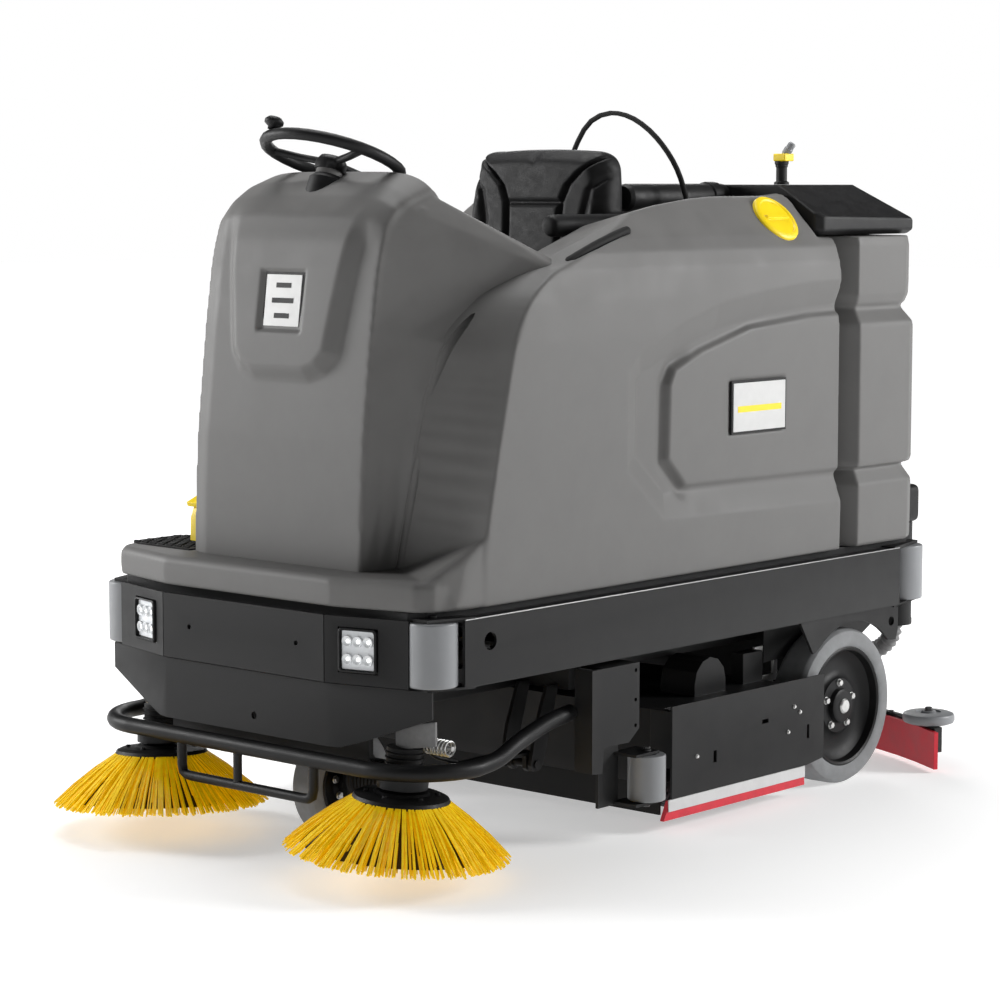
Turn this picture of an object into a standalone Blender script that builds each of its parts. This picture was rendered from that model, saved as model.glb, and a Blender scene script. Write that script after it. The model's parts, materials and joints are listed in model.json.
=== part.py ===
"""Ride-on scrubber sweeper: its steel, its casings, its wheels and everything that moves.

Metres, +Z up. The machine faces -Y and its left side is +X. Places along the machine are given
as stations, measured back from the front bumper's face. The empty machine_frame, the parent of
every piece, puts that face at BUMPER_FACE_Y. A piece that moves has its origin on its joint's axis.
"""

import math

import bmesh
import bpy
from mathutils import Matrix, Vector

# Driving dimensions
BUMPER_FACE_Y = -1.01663
HALF_WIDTH = 0.574
GAP = 0.0004

BEAM_TOP = 0.616
BEAM_BOTTOM = 0.460
BEAM_START = 0.150
BEAM_END = 1.894
PLATE = 0.008
PANEL_HALF = 0.274
CHAMFER_X = 0.440
CHAMFER_Y = 0.042

BODY_HALF = 0.560
BODY_BOTTOM = 0.634
BODY_REAR = 2.005
DECK_TOP = 0.697
WELL_REAR = 0.720

REAR_WHEEL_RADIUS = 0.208
REAR_WHEEL_STATION = 1.681
REAR_WHEEL_OUT = 0.5525
REAR_WHEEL_WIDTH = 0.105
FRONT_WHEEL_RADIUS = 0.140
FRONT_WHEEL_STATION = 0.330
FRONT_WHEEL_WIDTH = 0.078

ROLLER_RADIUS = 0.055
ROLLER_BORE = 0.010
ROLLER_X = 0.512
ROLLER_FRONT = 0.110
ROLLER_REAR = 1.993

WHEEL_CENTRE = (0.0, 0.314, 1.654)
WHEEL_TILT = math.radians(20)
RIM_RADIUS = 0.166
RIM_TUBE = 0.0145

BRUSH_TOP = (0.412, 0.112, 0.212)
BRUSH_HUB_RADIUS = 0.120
BRUSH_TIP_RADIUS = 0.266
BRUSH_DROP = 0.146
BRUSH_LEAN_OUT = math.radians(3.4)
BRUSH_LEAN_BACK = math.radians(3.0)
BRUSH_PIVOT = (0.420, 0.520, 0.215)

DECK_FRONT = 0.905
DECK_REAR = 1.548
SKIRT_BOTTOM = 0.083
SKIRT_TOP = 0.315
ROLL_RADIUS = 0.078
ROLL_HEIGHT = 0.106
ROLL_STATIONS = (1.035, 1.215)

SQUEEGEE_BACK = 2.160
SQUEEGEE_BOW = 0.480
SQUEEGEE_HALF = 0.662
SQUEEGEE_PIVOT = (0.0, 1.830, 0.350)

CAP_CENTRE = Vector((0.4755, 1.444, 1.50229))
CAP_RADIUS = 0.072
FILLER_X = 0.462
FILLER_RADIUS = 0.034
CAP_NORMAL = Vector((0.753, 0.0, 0.658)).normalized()


# Clearing the scene and making the shared parent
for old in list(bpy.data.objects):
    bpy.data.objects.remove(old)

machine_frame = bpy.data.objects.new("machine_frame", None)
bpy.context.scene.collection.objects.link(machine_frame)
machine_frame.location = (0.0, BUMPER_FACE_Y, 0.0)


def finish(name, color, roughness, metallic=0.0):
    made = bpy.data.materials.new(name)
    made.use_nodes = True
    shader = made.node_tree.nodes["Principled BSDF"]
    shader.inputs["Base Color"].default_value = (*color, 1.0)
    shader.inputs["Roughness"].default_value = roughness
    shader.inputs["Metallic"].default_value = metallic
    return made


BODY_GREY = finish("body_grey", (0.155, 0.155, 0.158), 0.55)
STEEL_BLACK = finish("steel_black", (0.024, 0.025, 0.026), 0.45)
TRIM_BLACK = finish("trim_black", (0.018, 0.018, 0.019), 0.6)
ROLLER_GREY = finish("roller_grey", (0.33, 0.35, 0.36), 0.4)
TYRE_GREY = finish("tyre_grey", (0.42, 0.42, 0.40), 0.8)
RUBBER_BLACK = finish("rubber_black", (0.02, 0.02, 0.02), 0.85)
SEAT_BLACK = finish("seat_black", (0.015, 0.015, 0.016), 0.8)
SAFETY_YELLOW = finish("safety_yellow", (0.85, 0.60, 0.02), 0.45)
BRISTLE_YELLOW = finish("bristle_yellow", (0.85, 0.55, 0.01), 0.7)
LIP_RED = finish("lip_red", (0.62, 0.01, 0.03), 0.5)
LENS_WHITE = finish("lens_white", (0.8, 0.82, 0.84), 0.15)
BRIGHT_STEEL = finish("bright_steel", (0.6, 0.6, 0.6), 0.3, 1.0)
BUTTON_RED = finish("button_red", (0.6, 0.01, 0.01), 0.4)


# Making pieces
def add(name, mesh, material, at=(0, 0, 0), turn=None):
    """One piece from a mesh whose points are measured from `at`."""
    mesh.materials.append(material)
    piece = bpy.data.objects.new(name, mesh)
    bpy.context.scene.collection.objects.link(piece)
    piece.parent = machine_frame
    piece.matrix_local = Matrix.Translation(at) @ (turn or Matrix()).to_4x4()
    return piece


def mesh_from(bm, name):
    bmesh.ops.recalc_face_normals(bm, faces=bm.faces)
    mesh = bpy.data.meshes.new(name)
    bm.to_mesh(mesh)
    bm.free()
    return mesh


def soften(piece, width, segments=2, limit=35):
    """Rounds every edge sharper than the limit, in degrees."""
    bevel = piece.modifiers.new("bevel", "BEVEL")
    bevel.width = width
    bevel.segments = segments
    bevel.limit_method = "ANGLE"
    bevel.angle_limit = math.radians(limit)
    return piece


def prism(name, material, outline, axis, low, high, at=(0, 0, 0), turn=None):
    """An outline pushed along an axis. The outline's two numbers are the other axes, in X, Y, Z order."""
    bm = bmesh.new()
    points = []
    for u, v in outline:
        where = {"x": (low, u, v), "y": (u, low, v), "z": (u, v, low)}[axis]
        points.append(bm.verts.new(Vector(where) - Vector(at)))
    face = bm.faces.new(points)
    pushed = bmesh.ops.extrude_face_region(bm, geom=[face])["geom"]
    step = Vector([(high - low) * (axis == name_of_axis) for name_of_axis in "xyz"])
    moved = [item for item in pushed if isinstance(item, bmesh.types.BMVert)]
    bmesh.ops.translate(bm, verts=moved, vec=step)
    return add(name, mesh_from(bm, name), material, at, turn)


def box(name, material, low, high, at=None, turn=None):
    """A block between two corners."""
    at = at or tuple((a + b) / 2 for a, b in zip(low, high))
    outline = [(low[1], low[2]), (high[1], low[2]), (high[1], high[2]), (low[1], high[2])]
    return prism(name, material, outline, "x", low[0], high[0], at, turn)


def turned(name, material, profile, at, along=(0, 0, 1), steps=24, ring=False):
    """A profile of (radius, height) pairs, top to bottom, turned about the line `along` through `at`."""
    mesh = bpy.data.meshes.new(name)
    points = [(radius, 0.0, height) for radius, height in profile]
    edges = [(n, n + 1) for n in range(len(points) - 1)]
    if ring:
        edges.append((len(points) - 1, 0))
    mesh.from_pydata(points, edges, [])
    turn = Vector((0, 0, 1)).rotation_difference(Vector(along)).to_matrix()
    piece = add(name, mesh, material, at, turn)
    screw = piece.modifiers.new("turn", "SCREW")
    screw.steps = steps
    screw.render_steps = steps
    screw.use_merge_vertices = True
    screw.merge_threshold = 0.00001
    screw.use_smooth_shade = True
    return piece


def cylinder(name, material, start, end, radius, steps=20):
    start, end = Vector(start), Vector(end)
    length = (end - start).length
    profile = [(0, length), (radius, length), (radius, 0), (0, 0)]
    return turned(name, material, profile, start, end - start, steps)


def smooth_route(points, spacing, closed=False):
    """Points a spacing apart on one smooth curve through the given points."""
    knots = [Vector(point) for point in points]
    if closed:
        knots = [knots[-1], *knots, knots[0], knots[1]]
    else:
        knots = [2 * knots[0] - knots[1], *knots, 2 * knots[-1] - knots[-2]]
    route = []
    for before, start, end, after in zip(knots, knots[1:], knots[2:], knots[3:]):
        count = max(1, round((end - start).length / spacing))
        for n in range(count):
            t = n / count
            pull = (end - before) * t + (2 * before - 5 * start + 4 * end - after) * t * t
            route.append(start + (pull + (3 * start - before - 3 * end + after) * t**3) / 2)
    if not closed:
        route.append(knots[-2])
    return route


def tube(name, material, route, radius, resolution=3, closed=False, at=(0, 0, 0)):
    """A round bar or hose along a route, as a solid mesh."""
    curve = bpy.data.curves.new(name, "CURVE")
    curve.dimensions = "3D"
    curve.bevel_depth = radius
    curve.bevel_resolution = resolution
    curve.use_fill_caps = True
    spline = curve.splines.new("POLY")
    spline.points.add(len(route) - 1)
    for point, where in zip(spline.points, route):
        point.co = (*(Vector(where) - Vector(at)), 1.0)
    spline.use_cyclic_u = closed
    guide = bpy.data.objects.new(name + "_route", curve)
    bpy.context.scene.collection.objects.link(guide)
    graph = bpy.context.evaluated_depsgraph_get()
    mesh = bpy.data.meshes.new_from_object(guide.evaluated_get(graph))
    bpy.data.objects.remove(guide)
    mesh.shade_smooth()
    return add(name, mesh, material, at)


def boolean(target, tools, operation):
    for tool in tools:
        step = target.modifiers.new(operation.lower(), "BOOLEAN")
        step.operation = operation
        step.object = tool
        tool.hide_render = True
        tool.hide_viewport = False
        tool.display_type = "WIRE"
    return target


def join(target, *tools):
    return boolean(target, tools, "UNION")


def cut(target, *tools):
    return boolean(target, tools, "DIFFERENCE")


def both_sides(make):
    """Makes a piece for the left (+X) and its mirror for the right (-X)."""
    for side, hand in (("left", 1), ("right", -1)):
        make(side, hand)


def mirrored(outline, hand):
    return [(hand * u, v) for u, v in outline]


# Bumper, apron and beams
def bent_plate(outer, thickness):
    """A plate seen from above: the points of its outer face, left of which lies its thickness."""
    inner = []
    for n, point in enumerate(outer):
        before = Vector(outer[max(n - 1, 0)])
        after = Vector(outer[min(n + 1, len(outer) - 1)])
        run = (after - before).normalized()
        inner.append(tuple(Vector(point) + thickness * Vector((-run.y, run.x))))
    return outer + inner[::-1]


def chamfer_place(distance, height, depth=0.0):
    """A point on the left chamfer panel, a distance out from the centre panel's edge."""
    run = Vector((CHAMFER_X - PANEL_HALF, CHAMFER_Y)).normalized()
    where = Vector((PANEL_HALF, 0)) + distance * run + depth * Vector((-run.y, run.x))
    return (where.x, where.y, height)


CHAMFER_TURN = math.atan2(CHAMFER_Y, CHAMFER_X - PANEL_HALF)
LAMP_PLACE = 0.0895
LAMP_HEIGHT = 0.539
LAMP_HALF = 0.052


def make_front_bumper():
    face = [(-CHAMFER_X, CHAMFER_Y), (-PANEL_HALF, 0), (PANEL_HALF, 0), (CHAMFER_X, CHAMFER_Y)]
    bumper = prism("front_bumper", STEEL_BLACK, bent_plate(face, PLATE), "z", BEAM_BOTTOM, BEAM_TOP)
    for hand in (1, -1):
        x, y, z = chamfer_place(LAMP_PLACE, LAMP_HEIGHT, PLATE / 2)
        half = LAMP_HALF + GAP
        window = box("lamp_window", STEEL_BLACK, (-half, -0.03, -half), (half, 0.03, half), (0, 0, 0))
        window.matrix_local = Matrix.Translation((hand * x, y, z)) @ Matrix.Rotation(hand * CHAMFER_TURN, 4, "Z")
        hole = cylinder("bumper_hole", STEEL_BLACK, (hand * 0.182, -0.02, 0.541), (hand * 0.182, 0.03, 0.541), 0.006, 12)
        seam = box("bumper_seam", STEEL_BLACK, (hand * PANEL_HALF - 0.001, -0.01, 0.4), (hand * PANEL_HALF + 0.001, 0.0035, 0.7))
        cut(bumper, window, hole, seam)


def make_headlight(side, hand):
    x, y, z = chamfer_place(LAMP_PLACE, LAMP_HEIGHT)
    low = (-LAMP_HALF, -0.003, -LAMP_HALF)
    high = (LAMP_HALF, 0.040, LAMP_HALF)
    turn = Matrix.Rotation(hand * CHAMFER_TURN, 3, "Z")
    lamp = box("headlight_" + side, LENS_WHITE, low, high, (0, 0, 0), turn)
    lamp.matrix_local = Matrix.Translation((hand * x, y, z)) @ turn.to_4x4()


def make_front_apron():
    face = [(-0.448, 0.052), (-0.272, 0.008), (0.272, 0.008), (0.448, 0.052)]
    apron = prism("front_apron", STEEL_BLACK, bent_plate(face, 0.006), "z", 0.310, BEAM_BOTTOM - 0.003)
    for hand in (1, -1):
        slope = mirrored([(0.275, 0.300), (0.46, 0.300), (0.46, 0.405), (0.37, 0.330)], hand)
        corner = prism("apron_corner", STEEL_BLACK, slope, "y", -0.02, 0.10)
        cut(apron, corner)
    cut(apron, cylinder("apron_hole", STEEL_BLACK, (0.032, -0.02, 0.352), (0.032, 0.05, 0.352), 0.009, 16))


def make_side_beam(side, hand):
    outer, lip = HALF_WIDTH, 0.040
    channel = [
        (outer, BEAM_BOTTOM),
        (outer, BEAM_TOP),
        (outer - lip, BEAM_TOP),
        (outer - lip, BEAM_TOP - 0.004),
        (outer - PLATE, BEAM_TOP - 0.004),
        (outer - PLATE, BEAM_BOTTOM + 0.004),
        (outer - lip, BEAM_BOTTOM + 0.004),
        (outer - lip, BEAM_BOTTOM),
    ]
    beam = prism("side_beam_" + side, STEEL_BLACK, mirrored(channel, hand), "y", BEAM_START, BEAM_END)
    join(beam, *roller_yoke(hand, ROLLER_FRONT), *roller_yoke(hand, ROLLER_REAR), wheel_arch(hand))
    eye = cylinder("beam_eye", STEEL_BLACK, (hand * 0.5, 0.236, 0.541), (hand * 0.6, 0.236, 0.541), 0.012, 16)
    hole = cylinder("arch_hole", STEEL_BLACK, (hand * 0.5, 1.862, 0.419), (hand * 0.6, 1.862, 0.419), 0.013, 16)
    cut(beam, eye, hole)


def roller_yoke(hand, station):
    """The two tongues that hold a corner roller, and the pin it turns on."""
    inward, outward = (0.466, HALF_WIDTH)
    reach = 0.075 if station < 1 else -0.125
    near = min(station - 0.040, station + reach) if station < 1 else station + reach
    far = station + reach if station < 1 else station + 0.048
    tools = []
    for low, high in ((BEAM_BOTTOM - 0.004, BEAM_BOTTOM + 0.0035), (BEAM_TOP - 0.0035, BEAM_TOP + 0.004)):
        corners = sorted((hand * inward, hand * outward))
        tools.append(box("yoke_tongue", STEEL_BLACK, (corners[0], near, low), (corners[1], far, high)))
    pin = (hand * ROLLER_X, station)
    tools.append(cylinder("yoke_pin", STEEL_BLACK, (*pin, BEAM_BOTTOM - 0.010), (*pin, BEAM_TOP + 0.010), ROLLER_BORE - GAP, 12))
    return tools


def wheel_arch(hand):
    """The plate below the beam's rear end, cut round the rear wheel."""
    clearance = REAR_WHEEL_RADIUS + 0.024
    arc = []
    for degrees in range(132, 40, -8):
        angle = math.radians(degrees)
        height = REAR_WHEEL_RADIUS + clearance * math.sin(angle)
        arc.append((REAR_WHEEL_STATION - clearance * math.cos(math.pi - angle), height))
    outline = [(1.448, 0.470), (1.448, 0.455), (1.503, 0.372), *arc, (1.884, 0.366), (1.894, 0.395), (1.894, 0.470)]
    low, high = sorted((hand * (HALF_WIDTH - 0.012), hand * (HALF_WIDTH - 0.004)))
    return prism("wheel_arch", STEEL_BLACK, outline, "x", low, high)


def make_corner_roller(name, hand, station):
    top, bottom = BEAM_TOP - 0.0045, BEAM_BOTTOM + 0.0045
    middle = (top + bottom) / 2
    half = (top - bottom) / 2
    edge = 0.004
    profile = [
        (ROLLER_BORE, half),
        (ROLLER_RADIUS - edge, half),
        (ROLLER_RADIUS, half - edge),
        (ROLLER_RADIUS, edge - half),
        (ROLLER_RADIUS - edge, -half),
        (ROLLER_BORE, -half),
    ]
    turned(name, ROLLER_GREY, profile, (hand * ROLLER_X, station, middle), steps=18, ring=True)


def make_rear_beam():
    face = [(0.440, 2.010), (0.300, 2.046), (-0.300, 2.046), (-0.440, 2.010)]
    beam = prism("rear_beam", STEEL_BLACK, bent_plate(face, PLATE), "z", BEAM_BOTTOM, BEAM_TOP)
    join(beam, box("rear_shelf", STEEL_BLACK, (-0.30, 2.005, BEAM_BOTTOM), (0.30, 2.042, BEAM_BOTTOM + 0.006)))


# Frame
RAIL_X = 0.330
RAIL_HALF = 0.022
RAIL_BOTTOM = 0.385
RAIL_TOP = 0.452


def make_chassis_frame():
    start, end = 0.070, 2.000
    spans = [((-RAIL_X - RAIL_HALF, start, RAIL_BOTTOM), (-RAIL_X + RAIL_HALF, end, RAIL_TOP))]
    for station, half, reach in ((0.090, 0.020, RAIL_X), (0.620, 0.022, 0.500), (1.560, 0.022, 0.425), (1.978, 0.022, RAIL_X)):
        spans.append(((-reach, station - half, RAIL_BOTTOM + 0.004), (reach, station + half, RAIL_TOP - 0.004)))
    spans.append(((-0.090, 0.080, RAIL_BOTTOM + 0.006), (0.090, 0.630, RAIL_TOP - 0.006)))
    spans.append(((-RAIL_X, 0.740, 0.440), (RAIL_X, 1.240, 0.450)))
    frame = box("chassis_frame", STEEL_BLACK, (RAIL_X - RAIL_HALF, start, RAIL_BOTTOM), (RAIL_X + RAIL_HALF, end, RAIL_TOP))
    join(frame, *(box("frame_member", STEEL_BLACK, low, high) for low, high in spans))
    for hand in (1, -1):
        low, high = sorted((hand * 0.325, hand * 0.337))
        hanger = [(1.600, 0.400), (1.640, 0.180), (1.722, 0.180), (1.760, 0.400)]
        join(frame, prism("axle_hanger", STEEL_BLACK, hanger, "x", low, high))
    height = REAR_WHEEL_RADIUS
    axle = cylinder("axle_tube", STEEL_BLACK, (-0.430, REAR_WHEEL_STATION, height), (0.430, REAR_WHEEL_STATION, height), 0.024, 16)
    stub = cylinder("stub_axle", STEEL_BLACK, (-0.500, REAR_WHEEL_STATION, height), (0.500, REAR_WHEEL_STATION, height), 0.014, 16)
    join(frame, axle, stub)
    bore = cylinder("head_bore", STEEL_BLACK, (0, FRONT_WHEEL_STATION, 0.3), (0, FRONT_WHEEL_STATION, 0.5), 0.030 + GAP, 20)
    cut(frame, bore)


# Guard tube, brackets and deflector rollers
def make_guard_tube():
    half, front, corner, height = 0.575, 0.010, 0.170, 0.272
    side = [(0.575, 0.200, 0.270), (0.562, 0.345, 0.308), (0.530, 0.480, 0.328), (0.512, 0.594, 0.338)]
    route = smooth_route(side, 0.05)[::-1]
    for degrees in range(0, 91, 15):
        angle = math.radians(degrees)
        x = half - corner + corner * math.cos(angle)
        y = front + corner - corner * math.sin(angle)
        route.append(Vector((x, y, height)))
    route += [Vector((-p.x, p.y, p.z)) for p in reversed(route)]
    guard = tube("guard_tube", STEEL_BLACK, route, 0.020, 2)
    bar = [(0.245, 0.036, 0.176), (0.120, 0.028, 0.176), (0.0, 0.026, 0.176), (-0.120, 0.028, 0.176), (-0.245, 0.036, 0.176)]
    join(guard, tube("low_bar", STEEL_BLACK, smooth_route(bar, 0.06), 0.012, 2))
    for x, y in ((-0.225, 0.032), (-0.030, 0.024), (0.225, 0.032)):
        join(guard, box("guard_post", STEEL_BLACK, (x - 0.013, y - 0.011, 0.176), (x + 0.013, y + 0.011, 0.268)))


DEFLECTOR_X = 0.556
DEFLECTOR_STATION = 0.828
DEFLECTOR_RADIUS = 0.045
DEFLECTOR_LOW = 0.094
DEFLECTOR_HIGH = 0.208


def make_side_bracket(side, hand):
    outline = [
        (0.598, 0.193),
        (0.637, 0.189),
        (0.642, 0.252),
        (0.737, 0.251),
        (0.776, 0.281),
        (0.776, 0.443),
        (0.598, 0.443),
    ]
    low, high = sorted((hand * (HALF_WIDTH - PLATE), hand * HALF_WIDTH))
    bracket = prism("side_bracket_" + side, STEEL_BLACK, outline, "x", low, high)
    spans = [((0.519, 0.598, 0.193), (HALF_WIDTH, 0.606, 0.443))]
    spans.append(((RAIL_X + RAIL_HALF + GAP, 0.645, 0.436), (HALF_WIDTH, 0.776, 0.4425)))
    spans.append(((0.500, 0.700, 0.084), (0.508, 0.776, 0.440)))
    for z in (DEFLECTOR_LOW - 0.008, DEFLECTOR_HIGH + 0.001):
        spans.append(((0.502, 0.760, z), (DEFLECTOR_X + 0.022, DEFLECTOR_STATION + 0.022, z + 0.007)))
    for low_corner, high_corner in spans:
        x0, x1 = sorted((hand * low_corner[0], hand * high_corner[0]))
        join(bracket, box("bracket_web", STEEL_BLACK, (x0, *low_corner[1:]), (x1, *high_corner[1:])))
    pin = (hand * DEFLECTOR_X, DEFLECTOR_STATION)
    join(bracket, cylinder("deflector_pin", STEEL_BLACK, (*pin, 0.080), (*pin, 0.222), 0.010 - GAP, 12))
    for height in (0.425, 0.353, 0.290):
        at = (hand * 0.55, 0.762, height)
        cut(bracket, cylinder("bracket_hole", STEEL_BLACK, at, (hand * 0.6, *at[1:]), 0.005, 10))


def make_deflector_roller(side, hand):
    middle = (DEFLECTOR_LOW + DEFLECTOR_HIGH) / 2
    half = (DEFLECTOR_HIGH - DEFLECTOR_LOW) / 2
    radius, edge = DEFLECTOR_RADIUS, 0.005
    profile = [(0.010, half), (radius - edge, half), (radius, half - edge), (radius, edge - half), (radius - edge, -half), (0.010, -half)]
    turned("deflector_roller_" + side, ROLLER_GREY, profile, (hand * DEFLECTOR_X, DEFLECTOR_STATION, middle), steps=16, ring=True)


# Plastic body
def make_deck_shell():
    plan = [
        (0.274, 0.020),
        (0.440, 0.062),
        (0.520, 0.115),
        (0.553, 0.190),
        (0.556, WELL_REAR),
    ]
    plan += [(-x, y) for x, y in reversed(plan)]
    deck = prism("deck_shell", BODY_GREY, plan, "z", 0.632, DECK_TOP)
    soften(deck, 0.010)
    hollow = box("deck_hollow", BODY_GREY, (-0.47, 0.105, 0.55), (0.47, WELL_REAR - 0.03, 0.670))
    pocket = box("mat_pocket", BODY_GREY, (-0.535, 0.250, DECK_TOP - 0.004), (-0.285, 0.680, 0.75))
    cut(deck, hollow, pocket)
    for pivot, half, width in ((BRAKE_PIVOT, 0.013, 0.024), (DRIVE_PIVOT, 0.045, 0.030)):
        x, y, z = pivot
        join(deck, box("pedal_base", BODY_GREY, (x - half - 0.012, y - width, DECK_TOP - 0.010), (x + half + 0.012, y + width, z - 0.013)))
        for low in (x - half - 0.007, x + half + 0.001):
            join(deck, box("pedal_ear", BODY_GREY, (low, y - 0.010, DECK_TOP - 0.005), (low + 0.006, y + 0.010, z + 0.010)))


def make_step_mat():
    mat = box("step_mat", RUBBER_BLACK, (-0.533, 0.252, DECK_TOP - 0.0036), (-0.287, 0.678, DECK_TOP + 0.005))
    for row in range(7):
        y = 0.272 + row * 0.056
        join(mat, box("mat_rib", RUBBER_BLACK, (-0.520, y, DECK_TOP), (-0.300, y + 0.030, DECK_TOP + 0.008)))


COWL_HALF = 0.275
COWL_REAR = 0.470
COLUMN_AXIS = Vector((0, math.sin(WHEEL_TILT), math.cos(WHEEL_TILT)))


def make_console_cowl():
    side = [
        (0.105, DECK_TOP + GAP),
        (0.118, 1.000),
        (0.150, 1.340),
        (0.175, 1.470),
        (0.225, 1.548),
        (0.300, 1.588),
        (0.350, 1.584),
        (COWL_REAR, 1.548),
        (COWL_REAR, DECK_TOP + GAP),
    ]
    cowl = soften(prism("console_cowl", BODY_GREY, side, "x", -COWL_HALF, COWL_HALF), 0.045, 3, 50)
    inner = [(0.125, 0.6), (0.140, 1.000), (0.170, 1.340), (0.250, 1.520), (0.500, 1.500), (0.500, 0.6)]
    cut(cowl, prism("cowl_hollow", BODY_GREY, inner, "x", 0.03 - COWL_HALF, COWL_HALF - 0.03))
    foot = Vector(WHEEL_CENTRE) - 0.3 * COLUMN_AXIS
    join(cowl, leg_wall())
    cut(cowl, cylinder("column_hole", BODY_GREY, foot, WHEEL_CENTRE, 0.047 + GAP, 20))


def leg_wall():
    """The cowl's wall on the left, which runs back beside the operator's legs to the tank."""
    bottom = DECK_TOP + GAP
    outline = [(0.300, bottom), (0.300, 1.545), (0.480, 1.478), (0.640, 1.400), (WELL_REAR, 1.380), (WELL_REAR, bottom)]
    return soften(prism("leg_wall", BODY_GREY, outline, "x", COWL_HALF - 0.012, COWL_HALF + 0.034), 0.006)


def make_dashboard():
    outline = [
        (COWL_REAR + GAP, DECK_TOP + GAP),
        (COWL_REAR + 0.022, DECK_TOP + GAP),
        (COWL_REAR + 0.022, 1.380),
        (COWL_REAR + 0.060, 1.470),
        (COWL_REAR + 0.060, 1.556),
        (COWL_REAR, 1.562),
        (0.360, 1.5965),
        (0.305, 1.5985),
        (0.305, 1.5890),
        (0.352, 1.5850),
        (COWL_REAR + GAP, 1.5490),
    ]
    panel = soften(prism("dashboard", TRIM_BLACK, outline, "x", -0.215, 0.215), 0.003, 1)
    join(panel, steering_column())
    foot = Vector(WHEEL_CENTRE) - 0.3 * COLUMN_AXIS
    cut(panel, cylinder("shaft_bore", TRIM_BLACK, foot, WHEEL_CENTRE, 0.0145 + GAP, 16))
    cut(panel, cylinder("button_bore", TRIM_BLACK, (-0.17, 0.505, 1.45), (-0.17, 0.505, 1.60), 0.010 + GAP, 12))
    cut(panel, cylinder("key_bore", TRIM_BLACK, (0.17, 0.460, 1.420), (0.17, 0.560, 1.420), 0.009 + GAP, 12))


def steering_column():
    """The housing of the steering shaft."""
    low, high = 0.215, 0.045
    profile = [(0, -high), (0.032, -high), (0.044, -high - 0.012), (0.046, -high - 0.050), (0.046, -low), (0, -low)]
    return turned("steering_column", TRIM_BLACK, profile, WHEEL_CENTRE, COLUMN_AXIS, 20)


BODY_CROWN = [(0.560, 1.250), (0.548, 1.390), (0.530, 1.440), (0.425, 1.560), (0.395, 1.578)]
BODY_FOOT = BODY_BOTTOM


def body_section(low):
    """The tanks' outline seen from the front."""
    right_half = [(BODY_HALF - 0.004, low), (BODY_HALF, 0.80), *BODY_CROWN]
    return right_half + [(-x, z) for x, z in reversed(right_half)]


def make_solution_tank():
    side = [
        (0.205, BODY_FOOT),
        (0.240, 0.790),
        (0.360, 1.250),
        (0.440, 1.350),
        (0.585, 1.409),
        (0.770, 1.468),
        (0.920, 1.517),
        (1.160, 1.560),
        (1.340, 1.576),
        (1.572, 1.578),
        (1.572, 1.455),
        (1.620, 1.455),
        (1.620, BODY_FOOT),
    ]
    tank = prism("solution_tank", BODY_GREY, side, "x", -0.7, 0.7)
    section = prism("tank_section", BODY_GREY, body_section(BODY_FOOT - 0.1), "y", 0.1, 1.8)
    boolean(tank, [section], "INTERSECT")
    wall_face = COWL_HALF + 0.034 + GAP
    cut(
        tank,
        box("entry", BODY_GREY, (-0.8, 0.1, 0.5), (wall_face, WELL_REAR + 0.002, 1.8)),
        box("seat_bay", BODY_GREY, (-0.310, 0.5, 0.5), (0.310, 1.275, 1.8)),
        box("deck_seat", BODY_GREY, (-0.8, 0.1, 0.5), (0.8, WELL_REAR + 0.002, DECK_TOP + GAP)),
        box("turbine_tray", BODY_GREY, (-0.300, 1.2, 1.440), (0.300, 1.7, 1.8)),
        prism("entry_slope", BODY_GREY, [(0.7, 1.8), (0.7, 1.16), (0.86, 1.22), (1.0, 1.8)], "x", -0.8, -0.30),
    )
    cut(tank, cylinder("filler_well", BODY_GREY, (FILLER_X, CAP_CENTRE.y, 1.300), (FILLER_X, CAP_CENTRE.y, 1.700), FILLER_RADIUS, 24))


def make_fill_cap():
    radius = CAP_RADIUS
    profile = [
        (0, 0.014),
        (radius - 0.010, 0.014),
        (radius - 0.002, 0.010),
        (radius, 0.002),
        (radius, 0.001),
        (0, 0.001),
    ]
    cap = turned("fill_cap", SAFETY_YELLOW, profile, CAP_CENTRE, CAP_NORMAL, 28)
    grip = box("cap_grip", SAFETY_YELLOW, (-0.055, -0.009, 0.010), (0.055, 0.009, 0.026), (0, 0, 0))
    grip.matrix_basis = cap.matrix_basis.copy()
    join(cap, grip)


def make_recovery_tank():
    plan = [(0.498, 1.640), (BODY_HALF, 1.735), (BODY_HALF, BODY_REAR - 0.05), (0.52, BODY_REAR)]
    plan += [(-x, y) for x, y in reversed(plan)]
    tank = prism("recovery_tank", BODY_GREY, plan, "z", BODY_FOOT, 1.455)
    upper = [(0.540, 1.60), (0.540, 1.745), (0.540, BODY_REAR - 0.065), (0.500, BODY_REAR - 0.022)]
    step = [(0.7, 1.6), (0.7, 2.2), (-0.7, 2.2), (-0.7, 1.6)]
    upper += [(-x, y) for x, y in reversed(upper)]
    collar = prism("upper_shoulder", BODY_GREY, step, "z", 1.265, 1.5)
    core = prism("upper_core", BODY_GREY, upper, "z", 1.20, 1.6)
    cut(collar, core)
    cut(tank, collar)
    join(tank, *hose_socket())
    cut(tank, box("recovery_hollow", BODY_GREY, (-0.48, 1.690, 0.700), (0.48, 1.940, 1.6)))


LID_START = 1.580
LID_REAR = 2.015


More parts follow.
